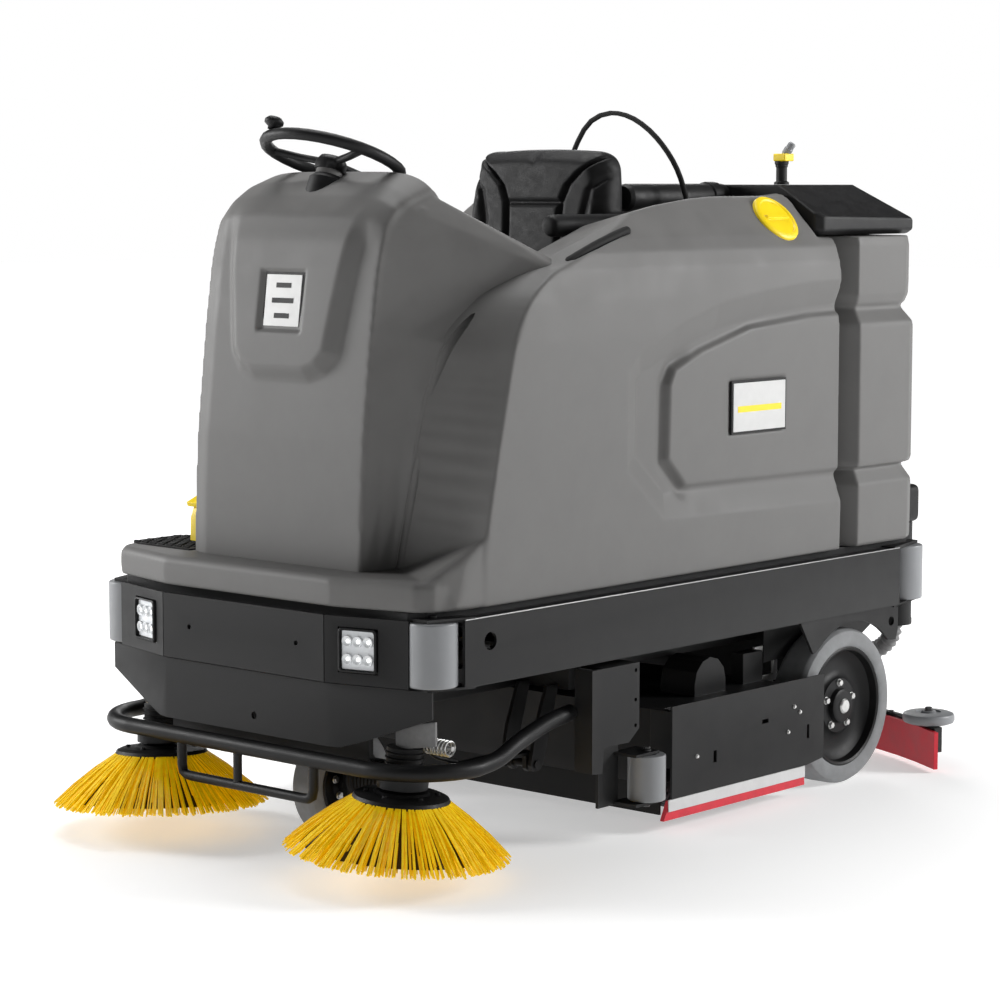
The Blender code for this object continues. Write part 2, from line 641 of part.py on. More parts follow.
def make_tank_lid():
    section = [(0.520, 1.4565), (0.520, 1.506), (0.385, 1.590)]
    section += [(-x, z) for x, z in reversed(section)]
    lid = soften(prism("tank_lid", TRIM_BLACK, section, "y", LID_START, LID_REAR, (0, LID_REAR, 1.460)), 0.008)
    inner = [(0.490, 1.40), (0.490, 1.496), (0.375, 1.566)]
    inner += [(-x, z) for x, z in reversed(inner)]
    cut(lid, prism("lid_hollow", TRIM_BLACK, inner, "y", LID_START + 0.02, LID_REAR - 0.03))
    slope = [(LID_REAR - 0.035, 1.62), (LID_REAR + 0.03, 1.515), (LID_REAR + 0.05, 1.62)]
    cut(lid, prism("lid_slope", TRIM_BLACK, slope, "x", -0.6, 0.6))


# Seat and what is below and behind it
SEAT_ORIGIN = (0.0, 0.830, 1.120)


def make_seat_pedestal():
    pedestal = box("seat_pedestal", TRIM_BLACK, (-0.300, WELL_REAR + 0.006, 0.640), (0.300, 1.262, 1.100))
    soften(pedestal, 0.015)
    cut(pedestal, box("pedestal_hollow", TRIM_BLACK, (-0.27, WELL_REAR + 0.036, 0.5), (0.27, 1.238, 1.070)))
    for x in (-0.16, 0.16):
        join(pedestal, box("seat_rail", TRIM_BLACK, (x - 0.015, 0.760, 1.095), (x + 0.015, 1.180, 1.112)))


def make_battery_pack():
    pack = box("battery_pack", TRIM_BLACK, (-0.250, 0.768, 0.4515), (0.250, 1.226, 0.900))
    soften(pack, 0.008)
    for x in (-0.15, 0.15):
        join(pack, cylinder("battery_post", BRIGHT_STEEL, (x, 0.84, 0.89), (x, 0.84, 0.925), 0.012, 12))


def make_seat():
    cushion = box("seat_cushion", SEAT_BLACK, (-0.240, 0.590, 1.135), (0.240, 1.045, 1.225), SEAT_ORIGIN)
    soften(cushion, 0.030, 3)
    for x in (-0.16, 0.16):
        join(cushion, box("seat_shoe", SEAT_BLACK, (x - 0.022, 0.760, 1.1125), (x + 0.022, 1.000, 1.150)))
    lean = Matrix.Rotation(math.radians(-5), 3, "X")
    backrest = box("seat_backrest", SEAT_BLACK, (-0.236, 1.030, 1.230), (0.236, 1.118, 1.685), (0, 1.060, 1.230), lean)
    soften(backrest, 0.035, 3)
    hanger = box("armrest_hanger", SEAT_BLACK, (0.20, 1.060, 1.455), (0.244, 1.120, 1.520), (0, 1.060, 1.230), lean)
    join(backrest, hanger)


ARM_PIVOT = (0.276, 1.090, 1.490)


def make_armrest():
    arm = turned(
        "armrest",
        TRIM_BLACK,
        [(0, 0.315), (0.022, 0.315), (0.029, 0.307), (0.029, 0.0), (0, 0.0)],
        ARM_PIVOT,
        (0, -1, 0),
        16,
    )
    boss = box("armrest_boss", TRIM_BLACK, (0.2448, 1.070, 1.468), (0.276, 1.110, 1.512))
    join(arm, boss)


def make_suction_turbine():
    profile = [(0, 0.115), (0.075, 0.115), (0.085, 0.105), (0.085, 0.040), (0.110, 0.034), (0.110, 0.0), (0, 0)]
    turned("suction_turbine", TRIM_BLACK, profile, (-0.140, 1.440, 1.4408), steps=20)


DUCT_X = 0.195


def make_vacuum_duct():
    start, end, height = 1.165, LID_START - GAP, 1.557
    profile = [(0, start), (0.030, start), (0.036, start + 0.012), (0.036, end - 0.070)]
    profile += [(0.041, end - 0.068), (0.041, end - 0.030), (0.036, end - 0.028), (0.036, end), (0, end)]
    duct = turned("vacuum_duct", TRIM_BLACK, profile[::-1], (DUCT_X, 0, height), (0, 1, 0), 16)
    join(duct, box("duct_foot", TRIM_BLACK, (DUCT_X - 0.020, 1.400, 1.4408), (DUCT_X + 0.020, 1.440, 1.53)))


def make_arched_hose():
    route = [
        (0.284, 1.330, 1.445),
        (0.288, 1.320, 1.530),
        (0.262, 1.306, 1.630),
        (0.200, 1.300, 1.710),
        (0.122, 1.300, 1.761),
        (0.045, 1.300, 1.777),
        (-0.022, 1.300, 1.757),
        (-0.067, 1.300, 1.705),
        (-0.100, 1.300, 1.630),
        (-0.118, 1.300, 1.530),
        (-0.122, 1.300, 1.445),
    ]
    tube("arched_hose", RUBBER_BLACK, smooth_route(route, 0.028), 0.0070, 1)


def make_spray_coupling():
    at = (0.335, 1.662, 1.5904)
    profile = [(0, 0.100), (0.010, 0.100), (0.010, 0.075), (0.017, 0.072), (0.017, 0.040), (0.009, 0.038), (0.009, 0.004), (0.022, 0.003), (0.022, 0), (0, 0)]
    coupling = turned("spray_coupling", TRIM_BLACK, profile, at, steps=14)
    join(coupling, cylinder("coupling_tip", TRIM_BLACK, Vector(at) + Vector((0, 0, 0.085)), Vector(at) + Vector((0.030, 0.012, 0.115)), 0.009, 12))


# Controls
def make_steering_wheel():
    centre = Vector(WHEEL_CENTRE)
    turn = Vector((0, 0, 1)).rotation_difference(COLUMN_AXIS).to_matrix()
    circle = []
    for n in range(32):
        angle = 2 * math.pi * n / 32
        circle.append(centre + turn @ Vector((RIM_RADIUS * math.cos(angle), RIM_RADIUS * math.sin(angle), 0)))
    wheel = tube("steering_wheel", TRIM_BLACK, circle, RIM_TUBE, 2, closed=True, at=centre)
    hub = turned("wheel_hub", TRIM_BLACK, [(0, 0.002), (0.030, 0.0), (0.038, -0.012), (0.038, -0.034), (0, -0.034)], centre, COLUMN_AXIS, 16)
    join(wheel, hub)
    for degrees in (90, 200, 340):
        angle = math.radians(degrees)
        out = turn @ Vector((math.cos(angle), math.sin(angle), 0))
        route = [centre + 0.02 * out - 0.012 * COLUMN_AXIS, centre + 0.09 * out - 0.008 * COLUMN_AXIS, centre + RIM_RADIUS * out]
        join(wheel, tube("spoke", TRIM_BLACK, route, 0.0095, 1))


def knob_place():
    turn = Vector((0, 0, 1)).rotation_difference(COLUMN_AXIS).to_matrix()
    angle = math.radians(-112)
    rim = turn @ Vector((RIM_RADIUS * math.cos(angle), RIM_RADIUS * math.sin(angle), 0))
    return Vector(WHEEL_CENTRE) + rim + (RIM_TUBE + GAP) * COLUMN_AXIS


def make_spinner_knob():
    profile = [(0, 0.030), (0.016, 0.029), (0.023, 0.022), (0.023, 0.014), (0.012, 0.006), (0.012, 0), (0, 0)]
    turned("spinner_knob", TRIM_BLACK, profile, knob_place(), COLUMN_AXIS, 16)


def make_steering_shaft():
    top = Vector(WHEEL_CENTRE) - (0.034 + GAP) * COLUMN_AXIS
    cylinder("steering_shaft", BRIGHT_STEEL, top - 0.26 * COLUMN_AXIS, top, 0.0140, 16)


BRAKE_PIVOT = (-0.375, 0.200, 0.722)
DRIVE_PIVOT = (0.090, 0.660, 0.722)


def make_pedals():
    x, y, z = BRAKE_PIVOT
    side = [(y - 0.006, z - 0.008), (y + 0.008, z - 0.008), (y + 0.010, z + 0.045), (y + 0.026, z + 0.083), (y + 0.012, z + 0.088), (y - 0.004, z + 0.050)]
    brake = prism("brake_pedal", SAFETY_YELLOW, side, "x", x - 0.013, x + 0.013, BRAKE_PIVOT)
    pad = [(y - 0.002, z + 0.076), (y + 0.034, z + 0.090), (y + 0.030, z + 0.101), (y - 0.006, z + 0.087)]
    join(brake, prism("brake_pad", SAFETY_YELLOW, pad, "x", x - 0.026, x + 0.026))
    x, y, z = DRIVE_PIVOT
    side = [(y + 0.006, z - 0.007), (y + 0.008, z + 0.005), (y - 0.090, z + 0.052), (y - 0.096, z + 0.040), (y - 0.006, z - 0.007)]
    prism("drive_pedal", TRIM_BLACK, side, "x", x - 0.045, x + 0.045, DRIVE_PIVOT)


def make_buttons():
    profile = [(0, 0.030), (0.014, 0.029), (0.020, 0.022), (0.020, 0.016), (0.010, 0.012), (0.010, -0.020), (0, -0.020)]
    turned("emergency_button", BUTTON_RED, profile, (-0.17, 0.505, 1.556), steps=16)
    key = turned("key_switch", BRIGHT_STEEL, [(0, 0.012), (0.013, 0.012), (0.013, 0.003), (0.009, 0.003), (0.009, -0.02), (0, -0.02)], (0.17, 0.512, 1.420), (0, 1, 0), 14)
    join(key, box("key_blade", BRIGHT_STEEL, (0.168, 0.520, 1.402), (0.172, 0.552, 1.432)))


# Wheels, fork and axle
def wheel_profile(radius, width, bore, rim):
    """A tyre on a dished rim with its hub, as one turned section."""
    half = width / 2
    return [
        (bore, half - 0.058),
        (0.055, half - 0.058),
        (rim * 0.66, half - 0.055),
        (rim - 0.006, half - 0.020),
        (rim, half - 0.003),
        (radius - 0.012, half),
        (radius, half - 0.014),
        (radius, 0.014 - half),
        (radius - 0.012, -half),
        (rim, 0.004 - half),
        (rim - 0.020, 0.020 - half),
        (bore, 0.020 - half),
    ]


def make_rear_wheel(side, hand):
    profile = wheel_profile(REAR_WHEEL_RADIUS, REAR_WHEEL_WIDTH, 0.0145, 0.170)
    at = (hand * (REAR_WHEEL_OUT - REAR_WHEEL_WIDTH / 2), REAR_WHEEL_STATION, REAR_WHEEL_RADIUS)
    turned("rear_wheel_" + side, TYRE_GREY, profile, at, (hand, 0, 0), 36, ring=True)


def make_front_wheel():
    half = FRONT_WHEEL_WIDTH / 2
    radius = FRONT_WHEEL_RADIUS
    profile = [
        (0.0125, half - 0.006),
        (radius - 0.035, half - 0.006),
        (radius - 0.030, half),
        (radius - 0.006, half),
        (radius, half - 0.008),
        (radius, 0.008 - half),
        (radius - 0.006, -half),
        (radius - 0.030, -half),
        (radius - 0.035, 0.006 - half),
        (0.0125, 0.006 - half),
    ]
    turned("front_wheel", TYRE_GREY, profile, (0, FRONT_WHEEL_STATION, radius), (1, 0, 0), 28, ring=True)


def make_front_fork():
    y = FRONT_WHEEL_STATION
    crown = box("front_fork", STEEL_BLACK, (-0.066, y - 0.075, 0.292), (0.066, y + 0.075, 0.318), (0, y, 0.3))
    for low, high in ((-0.066, -0.048), (0.048, 0.066)):
        join(crown, box("fork_leg", STEEL_BLACK, (low, y - 0.045, 0.115), (high, y + 0.045, 0.305)))
    pin = cylinder("fork_axle", STEEL_BLACK, (-0.060, y, FRONT_WHEEL_RADIUS), (0.060, y, FRONT_WHEEL_RADIUS), 0.012, 16)
    stem = cylinder("fork_stem", STEEL_BLACK, (0, y, 0.300), (0, y, 0.475), 0.0295, 20)
    collar = cylinder("fork_collar", STEEL_BLACK, (0, y, 0.447), (0, y, 0.475), 0.042, 20)
    join(crown, pin, stem, collar)


def make_drive_motor():
    y = FRONT_WHEEL_STATION
    profile = [(0, 0.110), (0.044, 0.110), (0.050, 0.104), (0.050, 0.010), (0.056, 0.008), (0.056, 0), (0, 0)]
    turned("drive_motor", TRIM_BLACK, profile, (0.0664, y, FRONT_WHEEL_RADIUS + 0.02), (1, 0, 0), 20)


# Side brushes
def brush_axis(hand):
    lean = Vector((hand * math.tan(BRUSH_LEAN_OUT), math.tan(BRUSH_LEAN_BACK), 1.0))
    return lean.normalized()


def make_brush_arm(side, hand):
    px, py, pz = BRUSH_PIVOT
    x, y, z = BRUSH_TOP
    pivot = (hand * px, py, pz)
    side_view = [(y - 0.045, 0.2290), (0.505, 0.2360), (0.532, 0.2360), (0.532, 0.2440), (0.505, 0.2440), (y - 0.045, 0.2370)]
    low, high = sorted((hand * (px - 0.034), hand * (px + 0.026)))
    arm = prism("brush_arm_" + side, STEEL_BLACK, side_view, "x", low, high, pivot)
    lug = [(0.505, 0.240), (0.505, 0.205), (0.513, 0.197), (0.527, 0.197), (0.535, 0.205), (0.535, 0.243), (0.505, 0.243)]
    for near in (px - 0.034, px + 0.014):
        low, high = sorted((hand * near, hand * (near + 0.012)))
        join(arm, prism("arm_lug", STEEL_BLACK, lug, "x", low, high))
    axis = brush_axis(hand)
    top = Vector((hand * x, y, z))
    join(arm, cylinder("motor_flange", STEEL_BLACK, top + 0.006 * axis, top + 0.030 * axis, 0.060, 18))
    join(arm, cylinder("brush_motor", STEEL_BLACK, top + 0.020 * axis, top + 0.100 * axis, 0.042, 18))
    cut(arm, cylinder("pivot_bore", STEEL_BLACK, (hand * 0.30, py, pz), (hand * 0.56, py, pz), 0.010 + GAP, 14))


def make_arm_hinge(side, hand):
    """The pin that each brush arm swings on, in its two ears below the frame's front cross member."""
    px, py, pz = BRUSH_PIVOT
    outline = [(0.598, 0.40), (0.598, 0.3885), (0.545, 0.215), (0.533, 0.200), (0.507, 0.200), (0.500, 0.215), (0.520, 0.300), (0.560, 0.40)]
    for x in (0.366, 0.456):
        low, high = sorted((hand * x, hand * (x + 0.010)))
        ear = prism("arm_ear", STEEL_BLACK, outline, "x", low, high)
        join(bpy.data.objects["chassis_frame"], ear)
    pin = cylinder("arm_pin", STEEL_BLACK, (hand * 0.362, py, pz), (hand * 0.470, py, pz), 0.010, 14)
    join(bpy.data.objects["chassis_frame"], pin)


def make_side_brush(side, hand):
    hub = BRUSH_HUB_RADIUS
    profile = [
        (0, 0),
        (hub - 0.005, 0),
        (hub, -0.005),
        (hub, -0.026),
        (BRUSH_TIP_RADIUS, 0.010 - BRUSH_DROP),
        (BRUSH_TIP_RADIUS - 0.026, -BRUSH_DROP),
        (0.160, -0.095),
        (0.095, -0.045),
        (0, -0.045),
    ]
    x, y, z = BRUSH_TOP
    turned("side_brush_" + side, BRISTLE_YELLOW, profile, (hand * x, y, z), brush_axis(hand), 24)


# Scrub deck
def make_scrub_deck():
    half, front, rear = 0.520, DECK_FRONT + 0.010, 1.440
    deck = box("scrub_deck", STEEL_BLACK, (-half, front, 0.110), (half, rear, 0.300), (0, 1.2, 0.3))
    hollow = box("deck_tunnel", STEEL_BLACK, (0.012 - half, front + 0.012, 0.0), (half - 0.012, rear - 0.008, 0.285))
    cut(deck, hollow)
    for hand in (1, -1):
        arch = [(1.115, 0.290), (1.115, 0.345)]
        for degrees in range(180, -1, -30):
            angle = math.radians(degrees)
            arch.append((1.180 + 0.065 * math.cos(angle), 0.330 + 0.065 * math.sin(angle)))
        arch += [(1.245, 0.290)]
        low, high = sorted((hand * 0.370, hand * 0.480))
        join(deck, prism("motor_cover", STEEL_BLACK, arch[:1] + arch[2:], "x", low, high))
        low, high = sorted((hand * 0.420, hand * 0.460))
        join(deck, box("deck_latch", STEEL_BLACK, (low, 1.345, 0.290), (high, 1.430, 0.380)))
    for hand in (1, -1):
        join(deck, *side_skirt(hand))
        for station in ROLL_STATIONS:
            low, high = sorted((hand * 0.490, hand * 0.515))
            join(deck, box("roll_bearing", STEEL_BLACK, (low, station - 0.02, ROLL_HEIGHT - 0.02), (high, station + 0.02, ROLL_HEIGHT + 0.02)))
            a, b = sorted((hand * 0.48, hand * 0.505))
            cut(deck, cylinder("roll_seat", STEEL_BLACK, (a, station, ROLL_HEIGHT), (b, station, ROLL_HEIGHT), 0.012 + GAP, 14))


def make_roller_brush(name, station):
    half = 0.470
    profile = [(0, half + 0.026), (0.012, half + 0.026), (0.012, half), (ROLL_RADIUS, half), (ROLL_RADIUS, -half), (0.012, -half), (0.012, -half - 0.026), (0, -half - 0.026)]
    turned(name, BRISTLE_YELLOW, profile, (0, station, ROLL_HEIGHT), (1, 0, 0), 16)


def side_skirt(hand):
    """The plate along one side of the deck, with the folds that carry it."""
    outline = [(DECK_FRONT, SKIRT_BOTTOM), (1.475, SKIRT_BOTTOM), (DECK_REAR, SKIRT_BOTTOM + 0.010), (DECK_REAR, SKIRT_TOP), (DECK_FRONT, SKIRT_TOP)]
    low, high = sorted((hand * (HALF_WIDTH - 0.006), hand * HALF_WIDTH))
    skirt = prism("side_skirt", STEEL_BLACK, outline, "x", low, high)
    for station, height, width, tall in ((1.080, 0.165, 0.012, 0.030), (1.290, 0.225, 0.026, 0.010), (1.478, 0.172, 0.009, 0.036)):
        near, far = (station - width / 2, height - tall / 2), (station + width / 2, height + tall / 2)
        cut(skirt, box("skirt_slot", STEEL_BLACK, (hand * 0.57 - 0.02, *near), (hand * 0.57 + 0.02, *far)))
    low, high = sorted((hand * 0.505, hand * (HALF_WIDTH - 0.003)))
    front = box("front_fold", STEEL_BLACK, (low, DECK_FRONT, 0.160), (high, DECK_FRONT + 0.020, SKIRT_TOP - 0.012))
    top = box("top_fold", STEEL_BLACK, (low, DECK_FRONT + 0.010, 0.286), (high, 1.430, 0.294))
    return [skirt, front, top]


def make_side_lip(side, hand):
    """The strip and the lip that hang inside the skirt's lower edge, one clamped to the other."""
    outer = HALF_WIDTH - 0.0065
    low, high = sorted((hand * (outer - 0.012), hand * outer))
    lip = box("side_lip_" + side, LIP_RED, (low, 0.895, 0.030), (high, 1.470, 0.150))
    low, high = sorted((hand * (0.5208), hand * (outer - 0.004)))
    join(lip, box("lip_holder", LIP_RED, (low, 0.920, 0.120), (high, 1.430, 0.132)))


# Squeegee
def squeegee_line(offset, half):
    """The squeegee's bow seen from above, a distance behind its leading face."""
    count = 14
    line = []
    for n in range(count + 1):
        x = -half + 2 * half * n / count
        slope = Vector((1, -2 * SQUEEGEE_BOW * x)).normalized()
        normal = Vector((-slope.y, slope.x))
        line.append(tuple(Vector((x, SQUEEGEE_BACK - SQUEEGEE_BOW * x * x)) + offset * normal))
    return line


def make_squeegee():
    blade_plan = squeegee_line(-0.006, SQUEEGEE_HALF) + squeegee_line(0.006, SQUEEGEE_HALF)[::-1]
    prism("squeegee_blade", LIP_RED, blade_plan, "z", 0.010, 0.112, SQUEEGEE_PIVOT)
    bar_plan = squeegee_line(0.0066, SQUEEGEE_HALF - 0.02) + squeegee_line(0.034, SQUEEGEE_HALF - 0.03)[::-1]
    bar = prism("squeegee_bar", STEEL_BLACK, bar_plan, "z", 0.050, 0.118, SQUEEGEE_PIVOT)
    x, y, z = SQUEEGEE_PIVOT
    for hand in (1, -1):
        low, high = sorted((hand * 0.110, hand * 0.122))
        drag = [(y - 0.020, z - 0.018), (y + 0.006, z - 0.024), (2.150, 0.122), (2.170, 0.115), (2.172, 0.100), (2.184, 0.100), (2.184, 0.124), (y + 0.022, z + 0.012), (y - 0.020, z + 0.020)]
        join(bar, prism("drag_arm", STEEL_BLACK, drag, "x", low, high))
        roller = squeegee_disc_place(hand)
        join(bar, cylinder("disc_pin", STEEL_BLACK, (*roller, 0.100), (*roller, 0.158), 0.010 - GAP, 12))
    join(bar, box("drag_bridge", STEEL_BLACK, (-0.122, 2.150, 0.1175), (0.122, 2.186, 0.132)))
    cut(bar, cylinder("drag_bore", STEEL_BLACK, (-0.2, y, z), (0.2, y, z), 0.010 + GAP, 14))
    pin = cylinder("drag_pin", STEEL_BLACK, (-0.150, y, z), (0.150, y, z), 0.010, 14)
    frame = bpy.data.objects["chassis_frame"]
    join(frame, pin)
    for hand in (1, -1):
        low, high = sorted((hand * 0.130, hand * 0.142))
        ear = [(y - 0.022, z - 0.020), (y + 0.022, z - 0.020), (1.965, 0.395), (1.965, 0.425), (y - 0.022, 0.400)]
        join(frame, prism("drag_ear", STEEL_BLACK, ear, "x", low, high))
    join(frame, box("drag_member", STEEL_BLACK, (-RAIL_X, 1.930, 0.392), (RAIL_X, 1.965, 0.440)))


def squeegee_disc_place(hand):
    x = 0.592
    return (hand * x, SQUEEGEE_BACK - SQUEEGEE_BOW * x * x + 0.026)


def make_squeegee_disc(side, hand):
    radius = 0.071
    profile = [(0.010, 0.017), (radius - 0.006, 0.017), (radius, 0.011), (radius, -0.013), (radius - 0.005, -0.017), (0.010, -0.017)]
    x, y = squeegee_disc_place(hand)
    turned("squeegee_disc_" + side, ROLLER_GREY, profile, (x, y, 0.138), steps=20, ring=True)


HOSE_TOP = (0.405, 2.122)


def hose_socket():
    """The recovery tank's inlet at its rear, which opens downwards over the hose's end."""
    profile = [(0, 0.290), (0.047, 0.290), (0.047, 0), (0.041, 0), (0.041, 0.278), (0, 0.278)]
    pipe = turned("inlet_pipe", BODY_GREY, profile, (*HOSE_TOP, 0.365), steps=18)
    x, y = HOSE_TOP
    return [pipe, box("inlet_neck", BODY_GREY, (x - 0.040, BODY_REAR - 0.02, 0.643), (x + 0.040, y + 0.020, 0.700))]


def make_suction_hose():
    route = [
        (0.060, 2.164, 0.138),
        (0.075, 2.166, 0.190),
        (0.170, 2.164, 0.232),
        (0.290, 2.155, 0.244),
        (0.380, 2.138, 0.290),
        (*HOSE_TOP, 0.342),
        (*HOSE_TOP, 0.396),
    ]
    tube("suction_hose", ROLLER_GREY, smooth_route(route, 0.035), 0.027, 2)


def main():
    make_chassis_frame()
    make_front_bumper()
    make_front_apron()
    make_rear_beam()
    make_guard_tube()
    make_deck_shell()
    make_step_mat()
    make_console_cowl()
    make_dashboard()
    make_solution_tank()
    make_fill_cap()
    make_recovery_tank()
    make_tank_lid()
    make_seat_pedestal()
    make_battery_pack()
    make_seat()
    make_armrest()
    make_suction_turbine()
    make_vacuum_duct()
    make_arched_hose()
    make_spray_coupling()
    make_steering_wheel()
    make_spinner_knob()
    make_steering_shaft()
    make_pedals()
    make_buttons()
    make_front_wheel()
    make_front_fork()
    make_drive_motor()
    make_scrub_deck()
    make_roller_brush("roller_brush_front", ROLL_STATIONS[0])
    make_roller_brush("roller_brush_rear", ROLL_STATIONS[1])
    make_squeegee()
    make_suction_hose()
    for make in (
        make_headlight,
        make_side_beam,
        make_side_bracket,
        make_deflector_roller,
        make_rear_wheel,
        make_brush_arm,
        make_arm_hinge,
        make_side_brush,
        make_side_lip,
        make_squeegee_disc,
    ):
        both_sides(make)
    for end, station in (("front", ROLLER_FRONT), ("rear", ROLLER_REAR)):
        for side, hand in (("left", 1), ("right", -1)):
            make_corner_roller(f"corner_roller_{end}_{side}", hand, station)


main()
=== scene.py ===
import json
import math
import random

import bmesh
import bpy
import numpy as np
from mathutils import Matrix, Vector

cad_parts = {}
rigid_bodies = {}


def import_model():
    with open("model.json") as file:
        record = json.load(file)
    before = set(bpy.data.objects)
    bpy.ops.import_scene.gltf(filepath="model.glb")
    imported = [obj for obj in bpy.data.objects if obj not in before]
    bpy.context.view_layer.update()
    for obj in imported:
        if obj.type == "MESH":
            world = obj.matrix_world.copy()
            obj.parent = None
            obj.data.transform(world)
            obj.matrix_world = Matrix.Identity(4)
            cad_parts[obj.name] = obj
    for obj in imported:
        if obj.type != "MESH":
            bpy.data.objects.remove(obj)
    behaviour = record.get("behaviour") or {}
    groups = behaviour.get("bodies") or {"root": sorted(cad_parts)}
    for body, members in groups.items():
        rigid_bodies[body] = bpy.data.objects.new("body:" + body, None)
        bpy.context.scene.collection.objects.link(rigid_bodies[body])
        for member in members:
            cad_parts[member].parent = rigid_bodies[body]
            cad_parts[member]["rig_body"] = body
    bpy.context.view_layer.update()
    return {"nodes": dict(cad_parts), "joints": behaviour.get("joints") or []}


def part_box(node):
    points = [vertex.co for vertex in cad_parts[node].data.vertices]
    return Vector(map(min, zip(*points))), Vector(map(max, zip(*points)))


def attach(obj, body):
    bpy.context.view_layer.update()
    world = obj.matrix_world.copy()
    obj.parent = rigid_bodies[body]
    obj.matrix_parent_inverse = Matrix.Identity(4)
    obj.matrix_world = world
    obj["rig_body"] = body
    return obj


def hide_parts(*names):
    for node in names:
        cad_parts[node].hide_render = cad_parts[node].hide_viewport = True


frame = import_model()
ROW = -1.01663  # the world y of station 0, the bumper's front face
NODES = frame["nodes"]
TAU = 2 * math.pi
WEIGHTED_LIMIT = 40000  # larger meshes, such as bristles, keep their plain normals
SIDES = (("left", 1), ("right", -1))
BOTH = (-1, 1)
SIDE_FACE = 0.5742  # x of the outer face of the beams, brackets and skirts


def body_of(node):
    return NODES[node]["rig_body"]


def corners(point, us, vs, ws):
    """The eight corners of a slab whose points are given by point(u, v, w)."""
    return [tuple(point(u, v, w)) for u in us for v in vs for w in ws]


# ---- mesh tools
def link(name, mesh):
    ob = bpy.data.objects.new(name, mesh)
    bpy.context.scene.collection.objects.link(ob)
    return ob


def make(name, verts, faces):
    """A closed mesh from points given as (x, station, z)."""
    mesh = bpy.data.meshes.new(name)
    mesh.from_pydata([(x, y + ROW, z) for x, y, z in verts], [], faces)
    bm = bmesh.new()
    bm.from_mesh(mesh)
    bmesh.ops.recalc_face_normals(bm, faces=bm.faces)
    bm.to_mesh(mesh)
    bm.free()
    return link(name, mesh)


def prism(name, loop, axis, a, b):
    """A closed outline drawn out along x, y (the station) or z, from a to b."""
    n = len(loop)
    put = {
        "x": lambda u, v, w: (w, u, v),
        "y": lambda u, v, w: (u, w, v),
        "z": lambda u, v, w: (u, v, w),
    }[axis]
    verts = [put(u, v, w) for w in (a, b) for u, v in loop]
    faces = [tuple(range(n)), tuple(range(2 * n - 1, n - 1, -1))]
    faces += [(i, (i + 1) % n, n + (i + 1) % n, n + i) for i in range(n)]
    return make(name, verts, faces)


def loft(name, loops):
    """A closed body through loops of the same number of points."""
    n = len(loops[0])
    verts = [p for loop in loops for p in loop]
    faces = [tuple(range(n)), tuple(range(len(verts) - 1, len(verts) - n - 1, -1))]
    for k in range(len(loops) - 1):
        for i in range(n):
            j = (i + 1) % n
            faces.append((k * n + i, k * n + j, (k + 1) * n + j, (k + 1) * n + i))
    return make(name, verts, faces)


def hull(name, points):
    bm = bmesh.new()
    for x, y, z in points:
        bm.verts.new((x, y + ROW, z))
    out = bmesh.ops.convex_hull(bm, input=bm.verts)
    bmesh.ops.delete(bm, geom=list(set(out["geom_interior"])), context="VERTS")
    mesh = bpy.data.meshes.new(name)
    bm.to_mesh(mesh)
    bm.free()
    return link(name, mesh)


def block(name, lo, hi, width=0.002, steps=2):
    """A box between two corners, with its edges broken."""
    ob = prism(name, [(lo[0], lo[1]), (hi[0], lo[1]), (hi[0], hi[1]), (lo[0], hi[1])], "z", lo[2], hi[2])
    return bevel(ob, width, steps) if width else ob


def basis(axis):
    w = Vector(axis).normalized()
    u = w.orthogonal().normalized()
    return u, w.cross(u), w


def turned(name, profile, origin, axis, steps=48):
    """A closed body of revolution: profile holds (radius, height along axis)."""
    u, v, w = basis(axis)
    o = Vector(origin)
    rings, verts = [], []
    for r, h in profile:
        if r < 1e-6:
            rings.append([len(verts)])
            verts.append(tuple(o + w * h))
            continue
        rings.append(list(range(len(verts), len(verts) + steps)))
        for i in range(steps):
            t = TAU * i / steps
            verts.append(tuple(o + w * h + (u * math.cos(t) + v * math.sin(t)) * r))
    closed = len(rings[0]) > 1
    faces = []
    pairs = list(zip(rings, rings[1:] + ([rings[0]] if closed else [])))
    for a, b in pairs[: None if closed else len(rings) - 1]:
        for i in range(steps):
            j = (i + 1) % steps
            if len(a) == 1 and len(b) == 1:
                continue
            if len(a) == 1:
                faces.append((a[0], b[i], b[j]))
            elif len(b) == 1:
                faces.append((a[i], b[0], a[j]))
            else:
                faces.append((a[i], a[j], b[j], b[i]))
    return make(name, verts, faces)


def spline(points, steps=8):
    """A Catmull-Rom curve through the points."""
    p = [Vector(q) for q in points]
    p = [2 * p[0] - p[1]] + p + [2 * p[-1] - p[-2]]
    out = []
    for i in range(1, len(p) - 2):
        a, b, c, d = p[i - 1 : i + 3]
        for k in range(steps):
            t = k / steps
            out.append(
                0.5 * (
                    (2 * b) + (c - a) * t + (2 * a - 5 * b + 4 * c - d) * t * t + (3 * b - a - 3 * c + d) * t**3
                )
            )
    out.append(p[-2])
    return out


